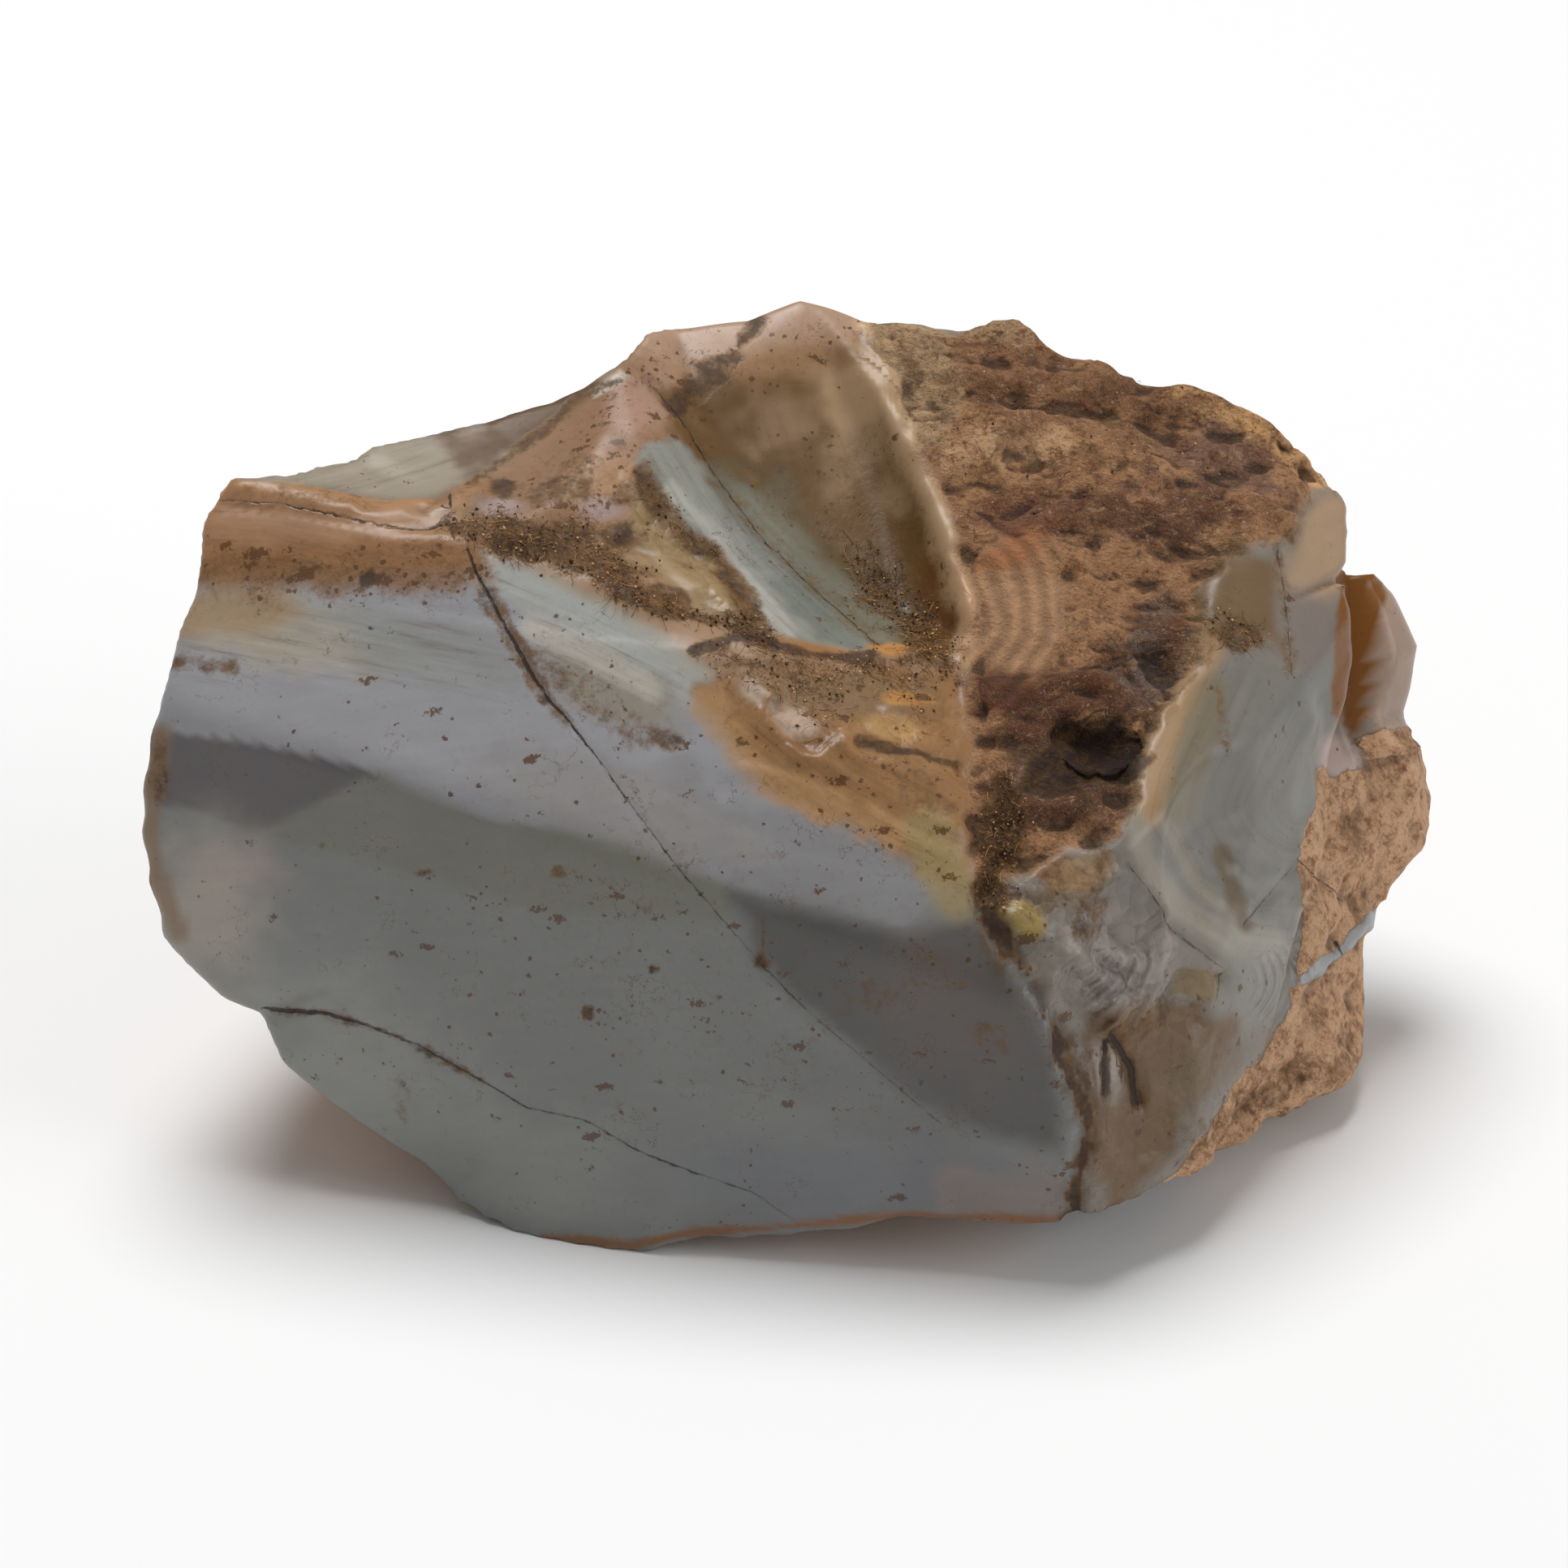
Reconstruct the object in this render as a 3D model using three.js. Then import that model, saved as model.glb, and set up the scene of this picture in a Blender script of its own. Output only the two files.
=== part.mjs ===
// A rough opal: one broken lump of pale opal with brown matrix grown fast to it.
// It lies on a flat of its underside. Millimetres, +Z up.
//
// Every form is laid out in a frame that leans with the stone's broad front:
// "across" runs to the right, "up" climbs the front, "toward" comes out of it.
// The skin is a radius measured from the heart of the lump. Flat and curved
// cuts shorten that radius, and several cut bodies are joined into one skin.
import * as THREE from 'three';
import { mergeVertices } from 'three/addons/utils/BufferGeometryUtils.js';

// Driving dimensions
const WIDTH = 79; // across the lump, left end to right end
const LEAN_DEGREES = 30; // how far the broad front leans back
const REACH = 450; // arm's length at which the outline below was drawn
const BASE_DROP = 23.4; // from the middle of the lump down to its underside
const BASE_CENTRE = [0.94, 3.03]; // the point of the underside taken as the origin
const CELLS = 28; // facets along each edge of the six panels of the skin
const MIN_BLEND = 0.5; // rounding where two bodies of stone meet
const OUTLINE_WIDTH = 79; // width that the landmarks below are written for
const SCALE = WIDTH / OUTLINE_WIDTH;

const LEAN = THREE.MathUtils.degToRad(LEAN_DEGREES);
const ACROSS = new THREE.Vector3(1, 0, 0);
const UP = new THREE.Vector3(0, Math.sin(LEAN), Math.cos(LEAN));
const TOWARD = new THREE.Vector3(0, -Math.cos(LEAN), Math.sin(LEAN));
const FAR = 500;

// A point or a direction of the leaning frame, in X, Y and Z.
function leaning(across, up, toward) {
  return new THREE.Vector3()
    .addScaledVector(ACROSS, across)
    .addScaledVector(UP, up)
    .addScaledVector(TOWARD, toward);
}

// The point that is seen at (across, up) from arm's length and lies at that depth.
function seen(across, up, toward) {
  const shrink = (REACH - toward) / REACH;
  return leaning(across * shrink, up * shrink, toward);
}

function unit(across, up, toward) {
  return leaning(across, up, toward).normalize();
}

const HEART = seen(6, 0, -12);

// A face of the lump is a slope: toward = level + a * across + b * up.
const FRONT = { level: 18.9, a: 0.26, b: 0.5 };
const UPPER_FRONT = { level: 14.2, a: 0.065, b: -0.22 };
const TOP_LEFT = { level: 18.6, a: -0.309, b: -0.917 };
const SHELF = { level: 13.9, a: -0.1, b: -0.807 };
const LIP = { level: 15.9, a: -0.4, b: -0.63 };
const RIGHT_FACE = { level: 47.0, a: -1.449, b: 0.253 };
const LOWER_RIGHT = { level: 34.3, a: -0.93, b: 0.25 };
const CORNER_FACET = { level: 25.0, a: -0.6, b: -0.6 };
const HOLLOW_BED = { level: 25.4, a: -1.2, b: -1.672 };
const HOLLOW_WALL = { level: -6.8, a: 1.21, b: -0.264 };
const HOLLOW_HEAD = { level: 7.3, a: -0.218, b: -0.554 };
const LEDGE_FLOOR = { level: 26.1, a: -0.558, b: -1.732 };
const LEDGE_WALL = { level: 11.8, a: -0.35, b: -0.6 };
const RIBBED_SCOOP = { level: 27.8, a: -0.024, b: -1.3 };
const CRUST_FRONT = { level: 36.1, a: -1.25, b: 0 };
const CRUST_CAP = { level: -3, a: 0, b: -0.35 };

const toward = (face, across, up) => face.level + face.a * across + face.b * up;
const outOf = (face) => unit(-face.a, -face.b, 1);

// A wall tells how far from the heart a ray meets it. With a bulge it is a
// sphere of that radius that touches the plane at the given point, and with a
// negative one the sphere lies outside, so that the wall is hollow.
function wall(at, out, bulge = 0) {
  const normal = out.clone().normalize();
  if (bulge === 0) {
    const reach = at.clone().sub(HEART).dot(normal);
    return (ray) => {
      const lean = ray.dot(normal);
      return lean > 1e-6 ? Math.min(reach / lean, FAR) : FAR;
    };
  }
  const offset = HEART.clone().sub(at).addScaledVector(normal, bulge);
  const excess = offset.lengthSq() - bulge * bulge;
  return (ray) => {
    const along = ray.dot(offset);
    const square = along * along - excess;
    if (bulge > 0) return Math.sqrt(Math.max(square, 0)) - along;
    const near = -along - Math.sqrt(Math.max(square, 0));
    return square > 0 && near > 0 ? Math.min(near, FAR) : FAR;
  };
}

// A wall on a face, touching it at (across, up).
function slope(face, bulge = 0, across = 0, up = 0) {
  return wall(leaning(across, up, toward(face, across, up)), outOf(face), bulge);
}

// A dent is an ellipsoid bitten out of a face, with the half length, half
// width and depth of the bite, and its long way turned to (right, rise).
function dent(at, out, longWay, length, width, depth, lift = 1.5 * depth) {
  const along = longWay.clone().addScaledVector(out, -longWay.dot(out)).normalize();
  const acrossIt = new THREE.Vector3().crossVectors(out, along);
  const tall = depth + lift;
  const spread = Math.sqrt(1 - (lift / tall) ** 2);
  const axes = [along, acrossIt, out];
  const radii = [length / spread, width / spread, tall];
  const start = HEART.clone().sub(at).addScaledVector(out, -lift);
  const o = axes.map((axis, i) => start.dot(axis) / radii[i]);
  const excess = o[0] ** 2 + o[1] ** 2 + o[2] ** 2 - 1;
  return (ray) => {
    const d = axes.map((axis, i) => ray.dot(axis) / radii[i]);
    const a = d[0] ** 2 + d[1] ** 2 + d[2] ** 2;
    const b = d[0] * o[0] + d[1] * o[1] + d[2] * o[2];
    const square = b * b - a * excess;
    if (square <= 0) return FAR;
    const near = (-b - Math.sqrt(square)) / a;
    return near > 0 ? Math.min(near, FAR) : FAR;
  };
}

function bite(face, across, up, right, rise, length, width, depth) {
  const at = seen(across, up, toward(face, across, up));
  return dent(at, outOf(face), leaning(right, rise, 0), length, width, depth);
}

function backBite(at, out, length, width, depth) {
  const normal = new THREE.Vector3(...out).normalize();
  return dent(new THREE.Vector3(...at), normal, new THREE.Vector3(1, 0.2, 0.3), length, width, depth);
}

const world = (x, y, z) => new THREE.Vector3(x, y, z);
const cut = (rounding, walls, hollow = 0) => ({ rounding, walls, hollow });

// The outer sides, which every body shares.
const ROUND_ABOUT = [
  cut(1, [wall(leaning(-38.2, -2, 2), unit(-1, 0.05, -0.3), 90)]),
  cut(1, [wall(leaning(-36.2, 11, 2), unit(-1, 0.22, -0.3))]),
  cut(1, [wall(leaning(-35.8, -11.2, 0), unit(-0.75, -0.66, -0.4))]),
  cut(1, [wall(leaning(-26.2, -20.2, -4), unit(-0.62, -0.78, -0.5))]),
  cut(1, [wall(leaning(17.2, -27.2, 6), unit(0.05, -1, -0.45))]),
  cut(1, [wall(leaning(-22.5, 21.9, -1), unit(-0.4, 0.9, -0.55), 90)]),
  cut(1.2, [wall(leaning(5, 29, -9), unit(0.06, 1, -0.45), 140)]),
  cut(0, [wall(world(0, 0, -BASE_DROP), world(0, 0, -1))]),
  cut(2, [wall(world(0, 27, 0), world(0, 1, 0.05), 150)]),
  cut(2, [wall(world(28, 24, 0), world(0.55, 0.83, 0), 110)]),
  cut(2, [wall(world(-27, 17, 0), world(-0.55, 0.83, 0.1), 110)]),
  cut(2, [wall(world(0, 20, -16), world(0, 0.8, -0.6), 110)]),
];

// Broken hollows in the back and the ends.
const BACK_BITES = [
  cut(0.6, [backBite([-9, 27, 3], [-0.1, 1, 0.05], 13, 9, 3)]),
  cut(0.6, [backBite([15, 27, -9], [0.2, 1, -0.2], 11, 8, 2.6)]),
  cut(0.6, [backBite([-26, 17, -8], [-0.6, 0.8, 0], 9, 7, 2.2)]),
  cut(0.6, [backBite([-39, 4, -4], [-1, 0.25, -0.1], 9, 6, 1.6)]),
  cut(0.6, [backBite([4, 21, -17], [0, 0.8, -0.6], 12, 6, 2)]),
];

const FRONT_FACES = [
  cut(0.8, [slope(FRONT, 330, -6, -12)]),
  cut(1.2, [slope(UPPER_FRONT, 220, -12, 5)]),
];

const RIGHT_SIDE = [
  cut(0.8, [slope(RIGHT_FACE, 260, 24, -6)]),
  cut(0.8, [slope(LOWER_RIGHT, 200, 24, -15)]),
  cut(0.8, [wall(leaning(34.3, 4, -3), unit(0.985, -0.17, -0.3), 120)]),
  cut(0.6, [wall(leaning(28.2, -18.0, -1.0), unit(0.8, -0.59, -0.12))]),
];

// Shell-shaped chips down the broken right corner, and the wide scallop.
const RIGHT_CHIPS = [
  cut(0.3, [bite(LOWER_RIGHT, 27.7, -1.7, 0.15, 1, 9.5, 5.6, 1.5)]),
  cut(0.2, [bite(LOWER_RIGHT, 16.7, -7.7, 1, -0.6, 4.2, 3.0, 1.0)]),
  cut(0.2, [bite(LOWER_RIGHT, 21.0, -9.7, 1, -0.8, 4.4, 3.0, 1.0)]),
  cut(0.2, [bite(LOWER_RIGHT, 24.7, -13.0, 1, -0.8, 4.2, 2.8, 0.9)]),
  cut(0.2, [bite(LOWER_RIGHT, 18.2, -14.2, 0.3, -1, 4.4, 2.6, 0.8)]),
  cut(0.2, [bite(LOWER_RIGHT, 22.7, -18.7, 0.4, -1, 6.4, 4.0, 0.8)]),
];

const TOP_SLOPE = cut(0.8, [slope(TOP_LEFT, 200, -10, 18)]);
const SCOOP = cut(0.4, [slope(RIBBED_SCOOP, -45, -21, 18.7)]);
const TOP_RIGHT = cut(1.5, [wall(leaning(30.5, 23.5, -9), unit(0.55, 0.83, -0.5), 90)]);

// The body left of the hollow: the pink top slope over a ledge that holds soil.
const LEFT_BODY = [
  ...ROUND_ABOUT,
  ...BACK_BITES,
  ...FRONT_FACES,
  ...RIGHT_SIDE,
  ...RIGHT_CHIPS,
  TOP_SLOPE,
  SCOOP,
  cut(0.7, [slope(HOLLOW_BED, -90, 0, 13)]),
  cut(0.5, [slope(LEDGE_FLOOR), slope(LEDGE_WALL)]),
];

// The body right of the hollow: the matrix shelf with its pit and blotches.
const RIGHT_BODY = [
  ...ROUND_ABOUT,
  ...BACK_BITES,
  ...FRONT_FACES,
  ...RIGHT_SIDE,
  ...RIGHT_CHIPS,
  TOP_RIGHT,
  cut(0.8, [slope(CORNER_FACET)]),
  cut(1, [slope(SHELF, 400, 14, 12)]),
  cut(0.6, [slope(HOLLOW_WALL, -60, 9, 12), slope(HOLLOW_HEAD, -90, 2, 18)], 2),
  cut(0.4, [bite(SHELF, 19.2, 3.3, 1, 0.3, 2.4, 2.0, 1.8)]),
  cut(0.8, [bite(SHELF, 15.2, 17.6, 1, 0.1, 3.6, 2.6, 0.7)]),
  cut(0.8, [bite(SHELF, 27.2, 20.1, 1, -0.5, 4.2, 2.4, 0.8)]),
  cut(0.8, [bite(SHELF, 13.7, -2.7, 0.4, 1, 3.0, 2.0, 0.8)]),
  cut(0.8, [bite(SHELF, 23.2, 7.8, 1, 0.5, 4.0, 2.5, 0.7)]),
];

// The stepped lip that closes the hollow in front.
const LIP_BODY = [
  ...ROUND_ABOUT,
  ...BACK_BITES,
  ...FRONT_FACES,
  ...RIGHT_SIDE,
  ...RIGHT_CHIPS,
  cut(0.5, [wall(leaning(2, 7.9, 10), unit(0.1, 0.95, 0.3))]),
  cut(0.8, [slope(LIP)]),
  cut(0.2, [bite(LIP, -0.3, 5.6, 1, -0.5, 4.5, 1.6, 0.9)]),
  cut(0.2, [bite(LIP, 4.7, 3.1, 1, -0.5, 4.4, 1.8, 1.0)]),
  cut(0.2, [bite(LIP, 2.2, 0.3, 1, -0.6, 4.0, 1.5, 0.8)]),
  cut(0.2, [bite(LIP, 7.7, -1.7, 1, -0.7, 3.6, 1.8, 0.9)]),
];

// The rough crust behind the right side.
const CRUST_BODY = [
  ...ROUND_ABOUT,
  ...BACK_BITES,
  ...FRONT_FACES,
  TOP_SLOPE,
  SCOOP,
  TOP_RIGHT,
  cut(1, [slope(CRUST_CAP)]),
  cut(1.5, [slope(CRUST_FRONT, 90, 36, -6)]),
  cut(1.5, [wall(seen(31.7, -18.2, -4.5), unit(0.58, -0.42, 0.7), 90)]),
  cut(1.5, [wall(leaning(38.3, -7, -14), unit(0.977, -0.21, -0.2), 120)]),
  cut(1.5, [wall(leaning(31, -21.6, -8), unit(0.5, -0.866, -0.25))]),
];

// The fin that stands up from the crust beside the right end.
const FIN_BODY = [
  ...ROUND_ABOUT,
  ...BACK_BITES,
  cut(0.4, [wall(seen(36.7, 6.3, -8.6), unit(0.1, 0.02, 0.99))]),
  cut(0.4, [wall(seen(36.9, 6.3, -8.6), unit(0.8, 0.05, 0.6))]),
  cut(0.6, [wall(seen(36.3, 12.9, -11), unit(0.1, 0.98, -0.1))]),
  cut(0.6, [wall(seen(36.7, 1.8, -11), unit(0.25, -0.95, 0.1))]),
  cut(0.8, [wall(leaning(38.8, 9, -12), unit(0.977, 0.21, -0.2))]),
];
const BODIES = [LEFT_BODY, RIGHT_BODY, LIP_BODY, CRUST_BODY, FIN_BODY];

// Rounded lesser and greater of two radii.
function lesser(p, q, rounding) {
  if (rounding === 0) return Math.min(p, q);
  const share = THREE.MathUtils.clamp(0.5 + (0.5 * (q - p)) / rounding, 0, 1);
  return q + (p - q) * share - rounding * share * (1 - share);
}
const greater = (p, q, rounding) => -lesser(-p, -q, rounding);

function cutRadius({ walls, hollow }, ray) {
  return walls.map((meets) => meets(ray)).reduce((p, q) => greater(p, q, hollow));
}

function plainRadius(ray) {
  const known = new Map();
  const reach = (one) => {
    if (!known.has(one)) known.set(one, cutRadius(one, ray));
    return known.get(one);
  };
  const bodyRadius = (body) => body.reduce((r, one) => lesser(r, reach(one), one.rounding), FAR);
  return BODIES.map(bodyRadius).reduce((p, q) => greater(p, q, MIN_BLEND));
}

// The outline seen from the front, clockwise from the top left, as (across, up).
const OUTLINE = [
  [-35.2, 17.2], [-33.8, 18.4], [-29.1, 19.1], [-26.3, 20.0], [-22.3, 21.4], [-18.1, 22.3],
  [-14.3, 23.5], [-12.3, 24.4], [-9.6, 26.0], [-8.3, 27.7], [-5.3, 28.0], [-2.1, 28.3],
  [1.0, 29.5], [3.5, 28.8], [4.8, 28.3], [10.7, 27.7], [15.0, 27.7], [17.3, 26.7],
  [22.0, 25.4], [25.7, 24.1], [29.7, 22.3], [33.5, 18.9], [34.5, 17.3], [34.4, 12.7],
  [36.2, 12.9], [37.4, 11.7], [39.0, 8.5], [38.4, 4.4], [39.6, 0.8], [39.5, -1.7],
  [36.5, -7.3], [35.5, -13.7], [35.6, -17.2], [35.1, -18.5], [32.6, -19.5], [26.7, -23.4],
  [20.7, -25.8], [17.2, -27.0], [10.7, -26.6], [7.2, -26.6], [0.5, -27.7], [-5.3, -27.8],
  [-8.8, -28.7], [-13.6, -28.1], [-16.3, -27.4], [-19.8, -25.5], [-22.3, -23.3], [-26.8, -20.3],
  [-30.6, -17.0], [-31.8, -14.0], [-34.1, -13.0], [-37.7, -9.5], [-38.9, -6.2], [-39.4, -3.0],
  [-39.3, -0.2], [-38.6, 4.1], [-37.7, 7.6], [-36.3, 11.6], [-35.7, 15.8],
];

const TURN = 2 * Math.PI;
const STEPS = 360; // directions around the outline
const SWEEP_DEGREES = 75; // how far forward and back the widest point is looked for
const SWEEP_STEP = 1.5;
const SMOOTHING = 12; // steps on either side over which the broad fit is averaged
const BROAD_FROM = 0.35; // share of the way out at which the broad fit sets in
const RIM_FROM = 0.8; // and the close fit along the rim

const ease = (t) => THREE.MathUtils.smoothstep(t, 0, 1);

function onView(point) {
  const depth = point.dot(TOWARD);
  const grow = REACH / (REACH - depth);
  return { across: point.dot(ACROSS) * grow, up: point.dot(UP) * grow, depth };
}
const CENTRE = onView(HEART);

// Reads a closed run of (angle, value) pairs at any angle.
function readRound(pairs, angle) {
  const last = pairs.length - 1;
  let before = pairs[last];
  let start = before[0] - TURN;
  for (const pair of pairs) {
    if (angle <= pair[0]) {
      return before[1] + ((pair[1] - before[1]) * (angle - start)) / (pair[0] - start);
    }
    before = pair;
    start = pair[0];
  }
  const next = pairs[0];
  return before[1] + ((next[1] - before[1]) * (angle - start)) / (next[0] + TURN - start);
}

const OUTLINE_POLAR = OUTLINE.map(([across, up]) => {
  const right = across - CENTRE.across;
  const rise = up - CENTRE.up;
  return [Math.atan2(rise, right), Math.hypot(right, rise)];
}).sort((p, q) => p[0] - q[0]);

// The widest reach of the cut bodies in each direction around the view.
const ANGLES = Array.from({ length: STEPS }, (_, i) => ((i + 0.5) / STEPS) * TURN - Math.PI);
const WIDEST = ANGLES.map((angle) => {
  let widest = 0;
  for (let degrees = -SWEEP_DEGREES; degrees <= SWEEP_DEGREES; degrees += SWEEP_STEP) {
    const tip = THREE.MathUtils.degToRad(degrees);
    const flat = Math.cos(tip);
    const ray = leaning(Math.cos(angle) * flat, Math.sin(angle) * flat, Math.sin(tip));
    const at = onView(HEART.clone().addScaledVector(ray, plainRadius(ray)));
    widest = Math.max(widest, Math.hypot(at.across - CENTRE.across, at.up - CENTRE.up));
  }
  return widest;
});

function averageRound(values) {
  return values.map((_, i) => {
    let sum = 0;
    for (let j = i - SMOOTHING; j <= i + SMOOTHING; j += 1) sum += values[(j + STEPS) % STEPS];
    return sum / (2 * SMOOTHING + 1);
  });
}
const CLOSE_FIT = ANGLES.map((angle, i) => readRound(OUTLINE_POLAR, angle) / WIDEST[i]);
const BROAD_FIT = averageRound(averageRound(CLOSE_FIT));
const WIDEST_ROUND = ANGLES.map((angle, i) => [angle, WIDEST[i]]);
const BROAD_ROUND = ANGLES.map((angle, i) => [angle, BROAD_FIT[i]]);

// Draws a point in or out so that the lump fills the outline. The broad part
// of the fit reaches far in, and the close part only works along the rim.
function fitOutline(point) {
  const at = onView(point);
  const right = at.across - CENTRE.across;
  const rise = at.up - CENTRE.up;
  const angle = Math.atan2(rise, right);
  const widest = readRound(WIDEST_ROUND, angle);
  const broad = readRound(BROAD_ROUND, angle);
  const share = Math.hypot(right, rise) / widest;
  const broadPull = 1 + (broad - 1) * ease((share - BROAD_FROM) / (1 - BROAD_FROM));
  const close = readRound(OUTLINE_POLAR, angle) / (widest * broad);
  const rimPull = 1 + (close - 1) * ease((share - RIM_FROM) / (1 - RIM_FROM));
  const pull = broadPull * rimPull;
  const fitted = seen(CENTRE.across + right * pull, CENTRE.up + rise * pull, at.depth);
  fitted.z = Math.max(fitted.z, -BASE_DROP);
  return fitted;
}

// Lattice noise from -1 to 1, smooth between corners that lie "size" apart.
function corner(x, y, z, seed) {
  let h = Math.imul(x, 374761393) + Math.imul(y, 668265263);
  h = (h + Math.imul(z, 2147483647) + Math.imul(seed, 1274126177)) | 0;
  h = Math.imul(h ^ (h >>> 13), 1103515245);
  h = Math.imul(h ^ (h >>> 16), 2246822519);
  return (((h ^ (h >>> 15)) & 0xffffff) / 0xffffff) * 2 - 1;
}

function noise(point, size, seed) {
  const p = [point.x / size, point.y / size, point.z / size];
  const low = p.map(Math.floor);
  const [u, v, w] = p.map((value, i) => THREE.MathUtils.smootherstep(value - low[i], 0, 1));
  const side = (x, y) => {
    const a = corner(low[0] + x, low[1] + y, low[2], seed);
    return a + (corner(low[0] + x, low[1] + y, low[2] + 1, seed) - a) * w;
  };
  const near = side(0, 0) + (side(0, 1) - side(0, 0)) * v;
  const far = side(1, 0) + (side(1, 1) - side(1, 0)) * v;
  return near + (far - near) * u;
}

// How rough the stone is: 0 on clean opal, 1 on matrix and on the crust.
const MATRIX = [
  [5, 28], [9.5, 18], [12, 10], [11.5, 2], [11, -5], [14.5, -6.5], [19.5, -3], [21.5, 2.5],
  [25, 8], [27, 12], [31, 17.5], [36, 19], [24, 30],
];
const CRUST = [[31.5, 5], [40, 8], [41, -4], [37, -20], [23, -27], [23, -24], [31, -17], [32, -11]];
const SOIL_LEDGE = [[-20, 15.5], [-13, 12.5], [-7, 9.5], [8, 6], [9, 9], [-6, 12.5], [-14, 16.5]];
const BACK_FROM = -13; // depth behind which the stone is crusted all over
const FADE = 2; // breadth of the change

function insideBy(outline, across, up) {
  let nearest = Infinity;
  let inside = false;
  outline.forEach(([x1, y1], i) => {
    const [x0, y0] = outline[(i + outline.length - 1) % outline.length];
    const edge = [x1 - x0, y1 - y0];
    const to = [across - x0, up - y0];
    const share = (to[0] * edge[0] + to[1] * edge[1]) / (edge[0] ** 2 + edge[1] ** 2);
    const t = THREE.MathUtils.clamp(share, 0, 1);
    nearest = Math.min(nearest, Math.hypot(to[0] - edge[0] * t, to[1] - edge[1] * t));
    const crosses = y0 > up !== y1 > up;
    if (crosses && across < x0 + (edge[0] * (up - y0)) / edge[1]) inside = !inside;
  });
  return inside ? nearest : -nearest;
}

function roughness(point) {
  const at = onView(point);
  const regions = [MATRIX, CRUST, SOIL_LEDGE].map((area) => insideBy(area, at.across, at.up));
  const depth = Math.max(...regions, BACK_FROM - at.depth);
  return ease(depth / FADE + 0.5);
}

const WAVE = { size: 9, height: 0.22, seed: 1 };
const LUMP = { size: 5.2, height: 0.75, seed: 2 };
const GRIT = { size: 2.6, height: 0.35, seed: 3 };

function relief(point) {
  const rough = roughness(point);
  const wave = WAVE.height * noise(point, WAVE.size, WAVE.seed);
  const lump = LUMP.height * noise(point, LUMP.size, LUMP.seed);
  const grit = GRIT.height * noise(point, GRIT.size, GRIT.seed);
  return wave + rough * (lump + grit);
}

// One point of the finished skin, along a ray from the heart.
function skinPoint(ray) {
  const radius = plainRadius(ray);
  const plain = HEART.clone().addScaledVector(ray, radius);
  const worn = HEART.clone().addScaledVector(ray, radius + relief(plain));
  const point = fitOutline(worn);
  point.x -= BASE_CENTRE[0];
  point.y -= BASE_CENTRE[1];
  point.z += BASE_DROP;
  return point.multiplyScalar(SCALE);
}

// Six square panels cover the rays, as the sides of a cube do.
const PANELS = [
  (a, b) => new THREE.Vector3(1, a, b),
  (a, b) => new THREE.Vector3(-1, b, a),
  (a, b) => new THREE.Vector3(b, 1, a),
  (a, b) => new THREE.Vector3(a, -1, b),
  (a, b) => new THREE.Vector3(a, b, 1),
  (a, b) => new THREE.Vector3(b, a, -1),
];

// How far the middle of a straight line between two points lies from a third.
function missBy(p, q, target) {
  return p.clone().add(q).multiplyScalar(0.5).distanceTo(target);
}

// Each cell of a panel is two facets, split along the diagonal that lies closer
// to the skin, so that the edges of the lump stay sharp.
function skinGeometry() {
  const points = [];
  const index = [];
  const spread = (i) => Math.tan(((2 * i) / CELLS - 1) * (Math.PI / 4));
  for (const panel of PANELS) {
    const at = (i, j) => skinPoint(panel(spread(i), spread(j)).normalize());
    const first = points.length;
    for (let i = 0; i <= CELLS; i += 1) {
      for (let j = 0; j <= CELLS; j += 1) points.push(at(i, j));
    }
    for (let i = 0; i < CELLS; i += 1) {
      for (let j = 0; j < CELLS; j += 1) {
        const a = first + i * (CELLS + 1) + j;
        const b = a + CELLS + 1;
        const middle = at(i + 0.5, j + 0.5);
        const rising = missBy(points[a], points[b + 1], middle);
        const falling = missBy(points[b], points[a + 1], middle);
        if (rising <= falling) index.push(a, b, b + 1, a, b + 1, a + 1);
        else index.push(a, b, a + 1, b, b + 1, a + 1);
      }
    }
  }
  const positions = points.flatMap((point) => point.toArray());
  const panels = new THREE.BufferGeometry();
  panels.setAttribute('position', new THREE.Float32BufferAttribute(positions, 3));
  panels.setIndex(index);
  return mergeVertices(panels, 1e-3);
}

function opalMaterial() {
  return new THREE.MeshStandardMaterial({
    name: 'opal_and_matrix',
    color: 0x8f8d88,
    roughness: 0.5,
    metalness: 0,
  });
}

const stone = new THREE.Mesh(skinGeometry(), opalMaterial());
stone.name = 'rough_opal';
stone.geometry.computeVertexNormals();

const model = new THREE.Group();
model.name = 'rough_opal_specimen';
model.add(stone);

export default model;
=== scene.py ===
"""A rough opal: one broken lump of pale opal with brown matrix grown fast to it.

The lump is one closed skin. Its radius from a heart point is shortened by flat, round and dented
cuts, several such bodies are joined, and the result is drawn out to the outline of the real lump.
Loose soil and plant fibres lie in its hollows. Sizes are in millimetres until a mesh is made.
"""

import logging
import math
from collections.abc import Callable, Sequence
from dataclasses import dataclass, field
from enum import Enum
from functools import cached_property, partial, reduce

import bpy
import numpy as np
from mathutils import Matrix


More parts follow.
